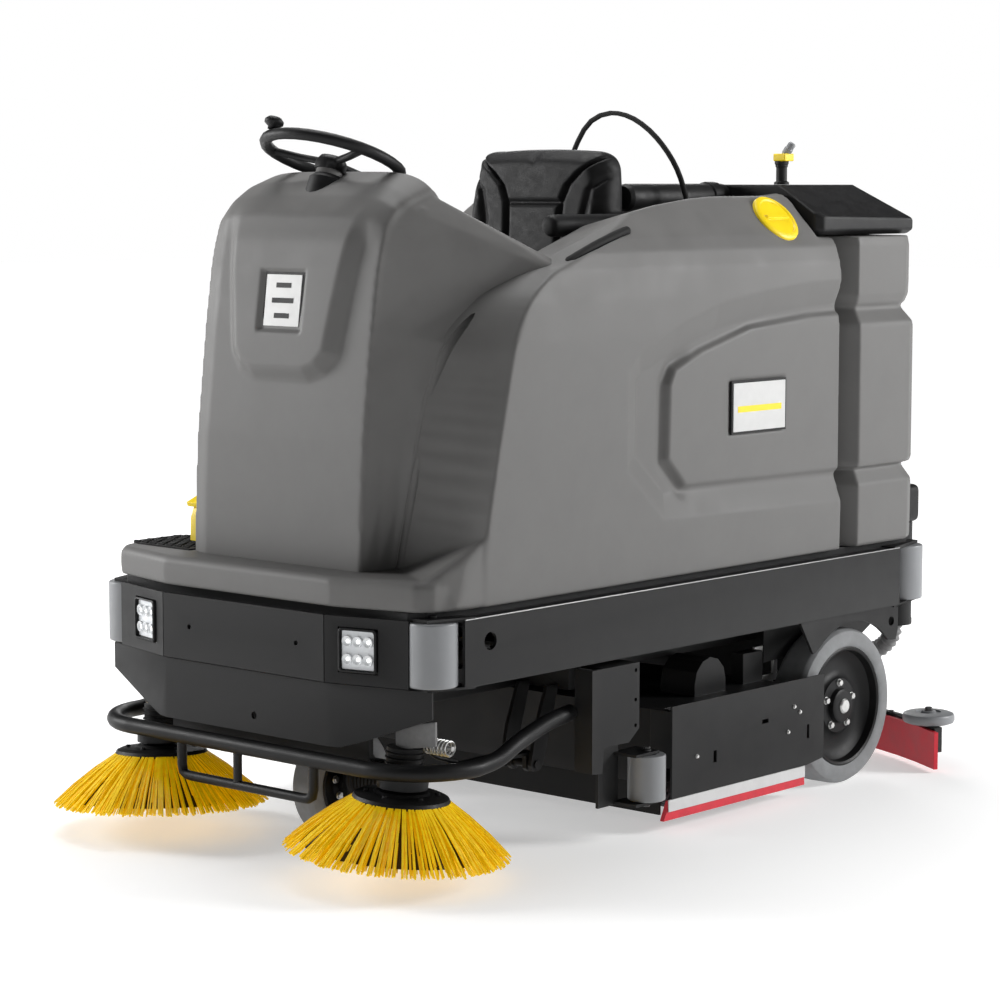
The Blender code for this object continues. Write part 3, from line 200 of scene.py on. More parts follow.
def tube(name, points, radius, sides=16, ring=False):
    """A round bar along the points; radius is one number or one for each point."""
    p = [Vector(q) for q in points]
    n = len(p)
    radii = radius if isinstance(radius, (list, tuple)) else [radius] * n
    up, verts = None, []
    for i in range(n):
        d = (p[(i + 1) % n] - p[i - 1]) if ring else (p[min(i + 1, n - 1)] - p[max(i - 1, 0)])
        d.normalize()
        up = (d.orthogonal() if up is None else up - d * up.dot(d)).normalized()
        side = d.cross(up)
        for k in range(sides):
            t = TAU * k / sides
            verts.append(tuple(p[i] + (up * math.cos(t) + side * math.sin(t)) * radii[i]))
    faces = []
    for i in range(n if ring else n - 1):
        j = (i + 1) % n
        for k in range(sides):
            m = (k + 1) % sides
            faces.append((i * sides + k, i * sides + m, j * sides + m, j * sides + k))
    if not ring:
        faces += [tuple(range(sides)), tuple(range((n - 1) * sides, n * sides))]
    return make(name, verts, faces)


def hexagon(name, origin, axis, across, height):
    u, v, w = basis(axis)
    o = Vector(origin)
    r = across / math.sqrt(3)
    loops = []
    for h, s in ((0, 1), (height * 0.8, 1), (height, 0.86)):
        loops.append(
            [
                tuple(o + w * h + (u * math.cos(TAU * i / 6) + v * math.sin(TAU * i / 6)) * r * s)
                for i in range(6)
            ]
        )
    return loft(name, loops)


def bolt(origin, axis, r=0.009):
    """A flanged hexagon screw standing on a face."""
    washer = turned("b", [(0, 0), (r, 0), (r, r * 0.16), (r * 0.9, r * 0.24), (0, r * 0.24)], origin, axis, 20)
    base = Vector(origin) + Vector(axis).normalized() * r * 0.2
    head = hexagon("b", base, axis, r * 1.45, r * 0.62)
    return join([washer, head])


def applied(ob):
    """Applies the modifiers of a piece to its mesh."""
    graph = bpy.context.evaluated_depsgraph_get()
    mesh = bpy.data.meshes.new_from_object(
        ob.evaluated_get(graph), preserve_all_data_layers=True, depsgraph=graph
    )
    ob.modifiers.clear()
    ob.data = mesh
    return ob


def modify(ob, kind, **values):
    m = ob.modifiers.new(kind.lower(), kind)
    for key, value in values.items():
        setattr(m, key, value)
    return applied(ob)


def bevel(ob, width, steps=2, angle=30):
    limit = math.radians(angle)
    return modify(ob, "BEVEL", width=width, segments=steps, limit_method="ANGLE", angle_limit=limit)


def cut(ob, *cutters, mode="DIFFERENCE"):
    for c in cutters:
        modify(ob, "BOOLEAN", operation=mode, object=c, solver="EXACT")
        bpy.data.objects.remove(c)
    return ob


def melt(ob, voxel, passes):
    """One moulded skin with soft edges, out of closed shapes that overlap."""
    modify(ob, "REMESH", mode="VOXEL", voxel_size=voxel)
    return modify(ob, "SMOOTH", factor=0.5, iterations=passes)


def join(obs):
    if len(obs) > 1:
        with bpy.context.temp_override(
            active_object=obs[0], selected_editable_objects=obs, selected_objects=obs
        ):
            bpy.ops.object.join()
    return obs[0]


def moved(ob, fn):
    """Moves each vertex by fn, which takes and gives an array of (x, station, z)."""
    n = len(ob.data.vertices)
    co = np.empty(n * 3)
    ob.data.vertices.foreach_get("co", co)
    co = co.reshape(-1, 3)
    co[:, 1] -= ROW
    co = fn(co)
    co[:, 1] += ROW
    ob.data.vertices.foreach_set("co", co.ravel())
    ob.data.update()
    return ob


def copy_of(node):
    """The mesh of a CAD node, with its flat faces made whole again."""
    ob = link("copy", NODES[node].data.copy())
    ob.data.materials.clear()
    bm = bmesh.new()
    bm.from_mesh(ob.data)
    bmesh.ops.remove_doubles(bm, verts=bm.verts, dist=0.00002)
    bmesh.ops.dissolve_limit(bm, angle_limit=math.radians(1.0), verts=bm.verts, edges=bm.edges)
    bm.to_mesh(ob.data)
    bm.free()
    return ob


def mirror(ob):
    """The same piece on the other side of the machine."""
    twin = link(ob.name, ob.data.copy())
    twin.data.transform(Matrix.Scale(-1, 4, (1, 0, 0)))
    twin.data.flip_normals()
    return twin


def piece(ob, name, body, material, stands=(), angle=35):
    """Names a mesh, finishes it and rides it on its body; stands are the CAD nodes that it replaces."""
    ob.name = ob.data.name = name
    ob.data.materials.clear()
    ob.data.materials.append(material)
    ob.data.shade_smooth()
    ob.data.set_sharp_from_angle(angle=math.radians(angle))
    if len(ob.data.polygons) < WEIGHTED_LIMIT:
        modify(ob, "WEIGHTED_NORMAL", keep_sharp=True, weight=80)
    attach(ob, body)
    if stands:
        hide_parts(*stands)
    return ob


# ---- materials
def put(node, **values):
    """Sets sockets of a shader node by name, with _ for each space."""
    for key, value in values.items():
        node.inputs[key.replace("_", " ")].default_value = value


def skin(name, colour, rough, metallic=0.0, spread=0.12, mottle=5.0, grain=700.0, depth=0.00025, strength=0.35,
         edge=0.0, edge_colour=None, gloss=0.5, emit=None):
    """A coloured finish with slow mottling, a fine grain in the surface and lighter worn edges."""
    m = bpy.data.materials.new(name)
    m.use_nodes = True
    nt = m.node_tree
    bsdf = nt.nodes["Principled BSDF"]
    new, wire = nt.nodes.new, nt.links.new
    where = new("ShaderNodeTexCoord").outputs["Object"]
    slow = new("ShaderNodeTexNoise")
    put(slow, Scale=mottle, Detail=6, Roughness=0.65)
    fine = new("ShaderNodeTexNoise")
    put(fine, Scale=grain, Detail=3)
    for n in (slow, fine):
        wire(where, n.inputs["Vector"])
    ramp = new("ShaderNodeValToRGB")
    lo = [c * (1 - spread) for c in colour]
    hi = [min(1, c * (1 + spread)) for c in colour]
    for stop, place, shade in zip(ramp.color_ramp.elements, (0.3, 0.7), (lo, hi)):
        stop.position, stop.color = place, (*shade, 1)
    wire(slow.outputs["Fac"], ramp.inputs["Fac"])
    colour_out = ramp.outputs["Color"]
    if edge:
        point = new("ShaderNodeNewGeometry").outputs["Pointiness"]
        band = new("ShaderNodeMapRange")
        put(band, From_Min=0.52, From_Max=0.62, To_Max=edge)
        wire(point, band.inputs["Value"])
        mix = new("ShaderNodeMix")
        mix.data_type = "RGBA"
        mix.inputs[7].default_value = (*edge_colour, 1)
        wire(band.outputs["Result"], mix.inputs[0])
        wire(colour_out, mix.inputs[6])
        colour_out = mix.outputs[2]
    wire(colour_out, bsdf.inputs["Base Color"])
    rr = new("ShaderNodeMapRange")
    put(rr, From_Min=0.3, From_Max=0.7, To_Min=rough - 0.08, To_Max=rough + 0.08)
    wire(slow.outputs["Fac"], rr.inputs["Value"])
    wire(rr.outputs["Result"], bsdf.inputs["Roughness"])
    bump = new("ShaderNodeBump")
    put(bump, Strength=strength, Distance=depth)
    wire(fine.outputs["Fac"], bump.inputs["Height"])
    wire(bump.outputs["Normal"], bsdf.inputs["Normal"])
    put(bsdf, Metallic=metallic, Specular_IOR_Level=gloss)
    if emit:
        put(bsdf, Emission_Color=(*emit[0], 1), Emission_Strength=emit[1])
    return m


GREY = skin(
    "moulded_grey", (0.138, 0.136, 0.133), 0.55, gloss=0.3, spread=0.07, mottle=7, grain=520, depth=0.0005,
    strength=0.3
)
STEEL = skin(
    "black_powder_coat", (0.0068, 0.0068, 0.0072), 0.46, gloss=0.20, spread=0.2, mottle=14, grain=900,
    depth=0.0003, strength=0.45, edge=0.35, edge_colour=(0.05, 0.05, 0.05)
)
CAST = skin(
    "black_plastic", (0.0085, 0.0085, 0.009), 0.52, gloss=0.25, spread=0.2, mottle=30, grain=650, depth=0.0006,
    strength=0.5
)
RUBBER = skin(
    "black_rubber", (0.012, 0.012, 0.012), 0.72, gloss=0.2, spread=0.25, mottle=40, grain=400, depth=0.0005
)
TYRE = skin(
    "grey_tyre", (0.20, 0.205, 0.21), 0.75, spread=0.16, mottle=22, grain=300, depth=0.0006, edge=0.3,
    edge_colour=(0.3, 0.3, 0.3)
)
ROLLER = skin("grey_roller", (0.235, 0.242, 0.252), 0.42, spread=0.05, mottle=9, grain=500, depth=0.0003)
ZINC = skin(
    "zinc_plate", (0.55, 0.55, 0.54), 0.34, metallic=0.9, spread=0.12, mottle=60, grain=800, depth=0.0002
)
HOSE = skin("grey_hose", (0.20, 0.20, 0.20), 0.5, gloss=0.3, spread=0.1, mottle=30)
# a light grey for a thin tube along a top edge: a painted highlight
PAINTED_HIGHLIGHT = skin("painted_highlight_grey", (0.30, 0.30, 0.30), 0.35, gloss=0.5, spread=0.2, mottle=20)
DULL = skin("dull_fitting", (0.17, 0.17, 0.17), 0.45, gloss=0.4, spread=0.15, mottle=50)
DARKZINC = skin("dark_screws", (0.10, 0.10, 0.10), 0.38, metallic=0.7, spread=0.2, mottle=80)
YELLOW = skin("yellow_plastic", (0.90, 0.66, 0.006), 0.40, spread=0.05, mottle=15, grain=600, depth=0.0004)
# the bristles also glow faintly: painted light that brightens their shaded faces
BRISTLE = skin(
    "yellow_bristle", (0.95, 0.60, 0.003), 0.45, spread=0.22, mottle=55, grain=900, depth=0.0003,
    emit=((1.0, 0.60, 0.0), 0.16)
)
BRISTLE_SHADE = skin("bristle_shadow", (0.035, 0.022, 0.003), 0.8, spread=0.4, mottle=60)
NYLON = skin("dark_nylon", (0.045, 0.045, 0.05), 0.6, spread=0.3, mottle=60)
RED = skin("red_rubber", (0.62, 0.012, 0.03), 0.42, spread=0.12, mottle=18, grain=500)
WHITE = skin("white_strip", (0.60, 0.60, 0.60), 0.45, spread=0.06, mottle=25)
SILVER = skin("badge_plate", (0.55, 0.55, 0.545), 0.38, metallic=0.15, spread=0.03, mottle=40)
LENS = skin("lamp_face", (0.66, 0.68, 0.70), 0.15, spread=0.03, mottle=60, emit=((1, 1, 1), 0.06))
LED = skin("lamp_chip", (0.95, 0.95, 0.92), 0.2, spread=0.02, emit=((1, 1, 0.97), 1.0))
LEATHER = skin(
    "seat_vinyl", (0.0075, 0.0075, 0.008), 0.55, gloss=0.22, spread=0.2, mottle=45, grain=420, depth=0.0008,
    strength=0.6
)

# ---- the moulded tower
KEEP = 0.4  # share of the faces that a moulded skin keeps
# the profile of the front as (station, z), from the deck over the dome
FRONT = [
    (0.108, 0.690), (0.114, 0.870), (0.122, 1.000), (0.136, 1.122), (0.152, 1.259), (0.172, 1.396),
    (0.185, 1.450), (0.203, 1.497), (0.233, 1.529), (0.275, 1.553), (0.350, 1.577), (0.374, 1.568),
    (0.390, 1.540), (0.486, 1.515)
]


def front_y(z):
    """The station of the tower's front face at a height."""
    return np.interp(z, [q[1] for q in FRONT[:11]], [q[0] for q in FRONT[:11]])


def inside(u, v, loop):
    """How deep each point (u, v) lies inside a closed loop; below zero outside."""
    best = np.full(u.shape, 1e9)
    odd = np.zeros(u.shape, bool)
    n = len(loop)
    for i in range(n):
        (ax, ay), (bx, by) = loop[i], loop[(i + 1) % n]
        t = np.clip(((u - ax) * (bx - ax) + (v - ay) * (by - ay)) / ((bx - ax) ** 2 + (by - ay) ** 2), 0, 1)
        best = np.minimum(best, np.hypot(u - ax - t * (bx - ax), v - ay - t * (by - ay)))
        crosses = (ay > v) != (by > v)
        with np.errstate(divide="ignore", invalid="ignore"):
            odd ^= crosses & (u < ax + (v - ay) * (bx - ax) / (by - ay))
    return np.where(odd, best, -best)


def ramp(d, a, b):
    """A smooth step from 0 at a to 1 at b."""
    t = np.clip((d - a) / (b - a), 0, 1)
    return t * t * (3 - 2 * t)


# the ridge, the lip and the groove of the side face, from the deck up to the valley
RIDGE = [
    (0.285, 0.114, 0.690), (0.285, 0.119, 0.870), (0.285, 0.126, 0.985), (0.285, 0.141, 1.122),
    (0.285, 0.158, 1.259), (0.285, 0.179, 1.396), (0.285, 0.192, 1.458), (0.285, 0.209, 1.499),
    (0.285, 0.263, 1.542), (0.285, 0.347, 1.571)
]
GROOVE = [
    (0.303, 0.2075, 0.690), (0.335, 0.216, 0.870), (0.352, 0.222, 0.985), (0.366, 0.243, 1.110),
    (0.392, 0.290, 1.225), (0.420, 0.372, 1.300), (0.452, 0.447, 1.340), (0.478, 0.492, 1.372),
    (0.494, 0.515, 1.398), (0.500, 0.535, 1.406)
]

core = prism("tower", FRONT + [(0.486, 0.690)], "x", -0.296, 0.285)
loops = []
for r, g in zip(RIDGE, GROOVE):
    r, g = Vector(r), Vector(g)
    lip = r.lerp(g, 0.80) + Vector((-0.004, 0.006, 0))
    loops.append(
        [
            tuple(q)
            for q in (
                r, r.lerp(g, 0.4) + Vector((-0.002, 0.004, 0)), lip, g, (g.x + 0.004, g.y + 0.06, g.z),
                (0.24, g.y + 0.10, g.z), (0.24, r.y + 0.04, r.z)
            )
        ]
    )
flare = loft("flare", loops)
saddle = hull(
    "saddle",
    [
        (0.262, 0.34, 1.566), (0.285, 0.347, 1.569), (0.500, 0.540, 1.403), (0.49, 0.60, 1.398),
        (0.262, 0.486, 1.52), (0.262, 0.66, 1.40), (0.30, 0.66, 1.40), (0.262, 0.34, 1.2), (0.42, 0.55, 1.2),
        (0.262, 0.66, 1.2), (0.40, 0.66, 1.2)
    ]
)
wall = prism(
    "wall", [(0.30, 0.69), (0.72, 0.69), (0.72, 1.372), (0.66, 1.40), (0.48, 1.47), (0.30, 1.54)], "x", 0.262,
    0.3085
)
tower = join([core, flare, saddle, wall])
melt(tower, 0.005, 5)

SHIELD = [
    (-0.205, 1.62), (-0.140, 1.210), (-0.120, 1.180), (-0.085, 1.166), (0.085, 1.166), (0.125, 1.180),
    (0.150, 1.210), (0.218, 1.62)
]


def tower_relief(co):
    x, y, z = co.T
    near = ramp(-(y - front_y(z)), -0.05, -0.02)
    d = inside(x, z, SHIELD)
    over = ramp(z, 1.440, 1.520)
    crowned = 1 - np.clip(np.abs(x + 0.004) / 0.295, 0, 1) ** 6
    back_off = 1 - ramp(y, 0.350, 0.385)
    out = (0.026 + 0.020 * ramp(z, 1.47, 1.575)) * (
        ramp(d, -0.040, 0.004) * near * (1 - over) + crowned * over * back_off
    )
    tilt = ramp(z, 1.40, 1.57) * math.pi / 2
    badge = inside(x, z, [(-0.072, 1.247), (0.075, 1.247), (0.075, 1.393), (-0.072, 1.393)])
    dent = 0.009 * ramp(badge, -0.002, 0.006) * near
    # the left edge leans back a little before it turns the corner
    soft = 0.016 * ramp(-x, 0.235, 0.300) * near
    co[:, 2] = z + out * np.sin(tilt)
    co[:, 1] = y - out * np.cos(tilt) + dent + soft
    return co


moved(tower, tower_relief)
modify(tower, "SMOOTH", factor=0.5, iterations=2)
groove_path = spline([Vector(g) + Vector((0.010, -0.001, 0)) for g in GROOVE[:8]], 6)
n = len(groove_path)


def groove_tube(drop, first, radius, swell):
    """The channel between the tower and the side tank, as a tube that widens on its way up."""
    points = [groove_path[0] - Vector((0, 0, drop))] + groove_path[first:]
    return tube("groove", points, [radius] + [radius + swell * i / n for i in range(first, n)], 14)


cut(tower, groove_tube(0.05, 0, 0.011, 0.005))
groove_shell = groove_tube(-0.01, 1, 0.010, 0.004)
modify(tower, "DECIMATE", ratio=KEEP)
piece(tower, "tower_shell", "chassis", GREY, ["console_cowl"], angle=50)

# ---- the moulded body: deck, both side tanks and the bridge behind the seat
TOP = [
    (0.545, 1.410), (0.600, 1.438), (0.709, 1.478), (0.860, 1.521), (1.000, 1.545), (1.160, 1.565),
    (1.300, 1.575), (1.572, 1.578), (1.572, 1.4545), (1.638, 1.4545), (1.638, 0.634)
]
SECTION = [
    (0.300, 0.634), (0.556, 0.634), (0.5585, 0.700), (0.560, 0.80), (0.560, 1.230), (0.556, 1.320),
    (0.548, 1.390), (0.534, 1.432), (0.512, 1.464), (0.425, 1.556), (0.408, 1.570), (0.380, 1.578),
    (0.300, 1.578)
]
FACE = [
    (0.60, 0.208, 0.239), (0.70, 0.208, 0.239), (0.79, 0.210, 0.241), (1.024, 0.222, 0.298),
    (1.18, 0.243, 0.338), (1.235, 0.262, 0.354), (1.290, 0.310, 0.378), (1.335, 0.365, 0.410),
    (1.370, 0.430, 0.455), (1.395, 0.490, 0.500), (1.420, 0.575, 0.575), (1.60, 1.10, 1.10)
]

left = prism("body", [(0.16, 0.634), (0.16, 1.405)] + TOP, "x", 0.300, 0.60)
cut(left, prism("section", SECTION, "y", 0.10, 1.70), mode="INTERSECT")
loops = []
for inner, outer, z in [tuple(q) for q in spline([(a, b, z) for z, a, b in FACE], 5)]:
    loops.append([(0.29, -0.1, z), (0.62, -0.1, z), (0.62, outer + 0.008, z), (0.29, inner - 0.003, z)])
wedge = loft("wedge", loops)
cut(left, wedge)
right = mirror(left)
slope_line = [
    (-0.2, 0.6), (0.722, 0.6), (0.722, 1.17), (0.86, 1.235), (1.12, 1.46), (1.34, 1.62), (1.40, 1.9),
    (-0.2, 1.9)
]
cut(right, hull("slope", [(x, y, z) for y, z in slope_line for x in (-0.7, -0.2)]))
bridge = prism("bridge", [(1.275, 0.634), (1.638, 0.634), (1.638, 1.44), (1.275, 1.44)], "x", -0.31, 0.31)
DECK = [
    (-0.280, 0.010), (0.280, 0.010), (0.500, 0.064), (0.530, 0.095), (0.550, 0.180), (0.556, 0.300),
    (0.556, 0.725), (-0.556, 0.725), (-0.556, 0.300), (-0.550, 0.180), (-0.530, 0.095), (-0.500, 0.064)
]
deck = loft("deck", [
    [(x * s, y + inset * (1 if y < 0.1 else 0.3), z) for x, y in DECK]
    for z, s, inset in ((0.633, 0.997, 0.002), (0.660, 1.0, 0.0), (0.690, 1.0, 0.001), (0.703, 0.985, 0.010))
])
toe = hull(
    "toe",
    [
        (0.495, 0.085, 0.700), (0.555, 0.245, 0.795), (0.5585, 0.36, 0.800), (0.303, 0.205, 0.700),
        (0.303, 0.35, 0.700), (0.554, 0.15, 0.64), (0.520, 0.100, 0.64), (0.556, 0.35, 0.64),
        (0.303, 0.35, 0.64), (0.550, 0.18, 0.742), (0.525, 0.115, 0.712)
    ]
)
shell = join([left, right, bridge, deck, toe])
melt(shell, 0.005, 7)

OUTER = [
    (0.741, 0.911), (0.889, 0.778), (1.70, 0.763), (1.70, 1.345), (1.50, 1.340), (1.30, 1.325), (1.1025, 1.295),
    (0.93, 1.245), (0.789, 1.190), (0.745, 1.150)
]
INNER = [
    (0.919, 0.923), (0.987, 0.856), (1.70, 0.848), (1.70, 1.254), (1.50, 1.250), (1.25, 1.230), (1.05, 1.180),
    (0.945, 1.140), (0.925, 1.105)
]
BADGE = [(1.160, 0.965), (1.398, 0.965), (1.398, 1.104), (1.160, 1.104)]


def body_relief(co):
    x, y, z = co.T
    side = ramp(np.abs(x), 0.49, 0.53)
    outer, inner, badge = inside(y, z, OUTER), inside(y, z, INNER), inside(y, z, BADGE)
    wall = np.clip(outer / 0.062, 0, 1)
    depth = 0.026 * wall - 0.013 * ramp(inner, -0.012, 0.003) + 0.004 * ramp(badge, -0.002, 0.004)
    # a deeper channel in front of the raised panel
    depth = depth + 0.008 * ramp(inner, -0.045, -0.014) * (
        1 - ramp(inner, -0.012, 0.0)
    ) * ramp(1.02 - y, 0, 0.06)
    co[:, 0] = x - np.sign(x) * depth * side
    crest = np.interp(y, [p[0] for p in TOP[:8]], [p[1] for p in TOP[:8]])
    top = ramp(z - crest, -0.060, -0.012) * ramp(y, 0.50, 0.60) * (1 - ramp(y, 1.54, 1.60))
    co[:, 2] = z - 0.24 * np.clip(0.450 - np.abs(x), 0, 0.16) * top
    return co


moved(shell, body_relief)
modify(shell, "SMOOTH", factor=0.5, iterations=3)
cut(shell, groove_shell)


slot_path = spline(
    [
        (0.524, 0.560, 1.412), (0.522, 0.63, 1.437), (0.515, 0.70, 1.458), (0.506, 0.77, 1.475),
        (0.498, 0.83, 1.488)
    ],
    5
)
inner_points = len(slot_path) - 2
cut(shell, tube("slot", slot_path, [0.004] + [0.0125] * inner_points + [0.004], 12))
# a dark rubber strip sunk in the slot: painted shade that darkens the groove
sunk = [q + Vector((-0.006, 0, -0.004)) for q in slot_path]
strip = tube("slot_shade_strip", sunk, [0.003] + [0.0105] * inner_points + [0.003], 12)
modify(shell, "DECIMATE", ratio=KEEP)
piece(strip, "slot_shade_strip", "chassis", RUBBER)
piece(shell, "body_shell", "chassis", GREY, ["solution_tank", "deck_shell"], angle=50)

# ---- recovery tank
PLAN = [
    (0.0, 1.658), (0.470, 1.658), (0.560, 1.714), (0.560, 1.945), (0.548, 1.978), (0.520, 2.003), (0.0, 2.003)
]
TIERS = [
    (0.634, 0.006), (0.642, 0.001), (0.795, 0.000), (0.800, 0.001), (0.838, 0.022), (0.842, 0.020),
    (0.846, 0.004), (0.858, 0.000), (1.215, 0.000), (1.226, 0.002), (1.262, 0.026), (1.270, 0.026),
    (1.278, 0.018), (1.300, 0.011), (1.330, 0.010), (1.430, 0.010), (1.455, 0.014)
]
right_half = [(-x, y) for x, y in PLAN[-2:0:-1]]
loops = []
for z, inset in TIERS:
    loops.append(
        [(x * (1 - inset / 0.56), 1.80 + (y - 1.80) * (1 - inset / 0.2), z) for x, y in PLAN + right_half]
    )
tank = loft("tank", loops)
melt(tank, 0.0045, 3)
modify(tank, "DECIMATE", ratio=KEEP)
piece(tank, "recovery_tank_shell", "chassis", GREY, ["recovery_tank"], angle=50)


def plate(name, centre, u, v, size, stripe):
    """A blank plate in a thin dark frame, with one plain coloured stripe."""
    u, v = Vector(u).normalized(), Vector(v).normalized()
    w = u.cross(v)
    c = Vector(centre)

    def slab(su, sv, lo, hi, shift=0):
        points = corners(
            lambda a, b, h: c + u * (a * su / 2) + v * (shift + b * sv / 2) + w * h, BOTH, BOTH, (lo, hi)
        )
        return bevel(hull("p", points), 0.0008, 2)

    piece(slab(size[0], size[1], -0.006, 0.002), name, "chassis", SILVER)
    piece(
        slab(size[0] + 0.012, size[1] + 0.012, -0.006, 0.0002), name + "_frame", "chassis", CAST,
    )
    if stripe:
        stripe_slab = slab(size[0] * 0.84, size[1] * 0.13, 0, 0.0028, -size[1] * 0.04)
        piece(stripe_slab, name + "_stripe", "chassis", YELLOW)


slope = math.atan2(0.172 - 0.136, 1.396 - 1.122)
up = (0, math.sin(slope), math.cos(slope))
plate("tower_badge", (0.002, front_y(1.32) - 0.026 + 0.0085, 1.32), (1, 0, 0), up, (0.118, 0.122), False)
h = 0.006  # half height of a bar
for k, s in enumerate((0.050, 0.072, 0.050)):
    c = Vector((0.002, front_y(1.32) - 0.0175, 1.32)) + Vector(up) * (0.036 - 0.036 * k)
    points = corners(
        lambda a, b, d: c + Vector((a * s / 2, -d, 0)) + Vector(up) * b * h, BOTH, BOTH, (0.0, 0.0028)
    )
    piece(bevel(hull("bar", points), 0.0006, 1), f"tower_badge_bar_{k}", "chassis", CAST)
plate("side_badge", (0.5525, 1.279, 1.0345), (0, 1, 0), (0, 0, 1), (0.218, 0.122), True)

# ---- front plates, lamps and corner rollers
gasket = prism(
    "frame_top_seal", [(x * 0.955, max(y, 0.055) if y < 0.2 else (y if y < 0.5 else 1.99)) for x, y in DECK],
    "z", 0.592, 0.6335
)
piece(bevel(gasket, 0.003), "frame_top_seal", "chassis", CAST)


def refine(node, width=0.0012, material=STEEL, extra=(), steps=2, angle=38, warp=None):
    """The CAD node's own shape with its edges broken, plus small parts joined to it."""
    ob = copy_of(node)
    if warp:
        moved(ob, warp)
    if width:
        bevel(ob, width, steps, 25)
    ob = join([ob] + list(extra))
    piece(ob, node + "_detail", body_of(node), material, [node], angle=angle)


plate_dir = Vector((0.166, 0.042, 0)).normalized()


def wings(reach):
    """Draws the ends of a bent front plate further out along its wings."""

    def warp(co):
        far = np.abs(co[:, 0]) > 0.430
        co[far, 0] += np.sign(co[far, 0]) * reach * plate_dir.x
        co[far, 1] += reach * plate_dir.y
        return co

    return warp


refine("front_bumper", 0.0015, warp=wings(0.050))
refine("front_apron", 0.0015, warp=wings(0.096))
tab = hull("tab", [
    (x, y, z)
    for x, z in ((0.404, 0.316), (0.404, 0.352), (0.440, 0.366), (0.528, 0.384), (0.528, 0.328), (0.430, 0.310))
    for y in (0.100, 0.106)
])
piece(bevel(tab, 0.001), "brush_hanger_plate", "chassis", DULL)
hooks = []
for sign in (1, -1):
    for k in range(7):
        x = sign * (0.446 + 0.011 * k)
        turn = [TAU * i / 20 for i in range(20)]
        ring = [(x, 0.165 + 0.017 * math.cos(t), 0.312 + 0.017 * math.sin(t)) for t in turn]
        hooks.append(tube("coil", ring, 0.0028, 8, True))
    hooks.append(tube("rod", [(sign * 0.412, 0.165, 0.312), (sign * 0.522, 0.165, 0.312)], 0.006, 12))
piece(join(hooks), "lift_springs", "chassis", ZINC)

BEAM_ENDS, BEAM_CREST = (0.152, 1.892), 0.6155
CUP = [(0, 0.0015), (0.004, 0.0015), (0.0115, 0.0075), (0.0128, 0.0075), (0.0128, -0.004), (0, -0.004)]
CHIP = [(0, 0.0), (0.0048, 0.0), (0.0044, 0.0035), (0, 0.0052)]


def beam_shape(co):
    """Widens the round eye, lifts it a little and takes the corners off the roller yokes."""
    eye = np.hypot(co[:, 1] - 0.236, co[:, 2] - 0.541) < 0.0135
    co[eye, 1] = 0.236 + (co[eye, 1] - 0.236) * 1.75
    co[eye, 2] = 0.559 + (co[eye, 2] - 0.541) * 1.75
    front = (co[:, 1] < 0.12) & (np.abs(co[:, 0]) > 0.54)
    co[front, 0] = np.sign(co[front, 0]) * 0.532
    rear = (co[:, 1] > 2.02) & (np.abs(co[:, 0]) > 0.54)
    co[rear, 0] = np.sign(co[rear, 0]) * 0.532
    return co


for side, sign in SIDES:
    refine(f"side_beam_{side}", 0.0018, warp=beam_shape)
    # a thin light tube along the beam's top edge: a painted highlight
    edge = tube("edge", [(sign * 0.5728, end, BEAM_CREST) for end in BEAM_ENDS], 0.0016, 8)
    piece(edge, f"side_beam_highlight_{side}", "chassis", PAINTED_HIGHLIGHT)
    # lamp: a dark bezel, a light face with six reflectors, and their chips
    u = Vector((plate_dir.x, sign * plate_dir.y, 0))
    w = Vector((u.y, -u.x, 0))
    c = Vector((sign * 0.361, 0.0215, 0.539))

    def spot(a, b, d):
        return c + u * a + Vector((0, 0, b)) + w * d

    def panel(half_width, half_height, lo, hi, width, steps):
        points = corners(spot, (-half_width, half_width), (-half_height, half_height), (lo, hi))
        return bevel(hull("panel", points), width, steps)

    frame_ring = panel(0.0505, 0.0505, -0.03, 0.006, 0.006, 4)
    cut(frame_ring, panel(0.0455, 0.0465, -0.004, 0.02, 0.006, 3))
    piece(bevel(frame_ring, 0.0008, 1), f"lamp_bezel_{side}", "chassis", CAST, [f"headlight_{side}"])
    cups = [panel(0.0440, 0.0450, -0.008, -0.0030, 0.0018, 2)]
    chips = []
    for i in (-1, 0, 1):
        for k in (-1, 1):
            o = spot(i * 0.0272, k * 0.0205, -0.004)
            cups.append(turned("cup", CUP, o, w, 28))
            chips.append(turned("chip", CHIP, o, w, 20))
    piece(join(cups), f"lamp_reflectors_{side}", "chassis", LENS)
    piece(join(chips), f"lamp_chips_{side}", "chassis", LED)

ROLL = [
    (0, -0.0735), (0.0545, -0.0735), (0.0565, -0.0720), (0.0575, -0.0690), (0.0575, 0.0690), (0.0565, 0.0720),
    (0.0545, 0.0735), (0.030, 0.0735), (0.029, 0.070), (0.014, 0.070), (0.0135, 0.0735), (0, 0.0735)
]


def round_cover(node, profile, centre, steps):
    piece(turned(node, profile, centre, (0, 0, 1), steps), node + "_cover", body_of(node), ROLLER, [node])


for end, station in (("front", 0.110), ("rear", 1.993)):
    for side, sign in SIDES:
        round_cover(f"corner_roller_{end}_{side}", ROLL, (sign * 0.512, station, 0.538), 64)
for side, sign in SIDES:
    node = f"deflector_roller_{side}"
    small = [(r * 0.045 / 0.055, h * 0.0565 / 0.0735) for r, h in ROLL]
    round_cover(node, small, (sign * 0.556, 0.828, 0.151), 48)
    node = f"squeegee_disc_{side}"
    disc = [
        (0, -0.017), (0.058, -0.017), (0.068, -0.013), (0.071, -0.006), (0.071, 0.004), (0.068, 0.010),
        (0.060, 0.013), (0.034, 0.0145), (0.033, 0.010), (0.020, 0.010), (0.019, 0.017), (0, 0.017)
    ]
    lo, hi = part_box(node)
    x, y = (lo.x + hi.x) / 2, (lo.y + hi.y) / 2 - ROW
    round_cover(node, disc, (x, y, 0.138), 56)
    piece(bolt((x, y, 0.1552), (0, 0, 1), 0.012), node + "_screw", body_of(node), DARKZINC)

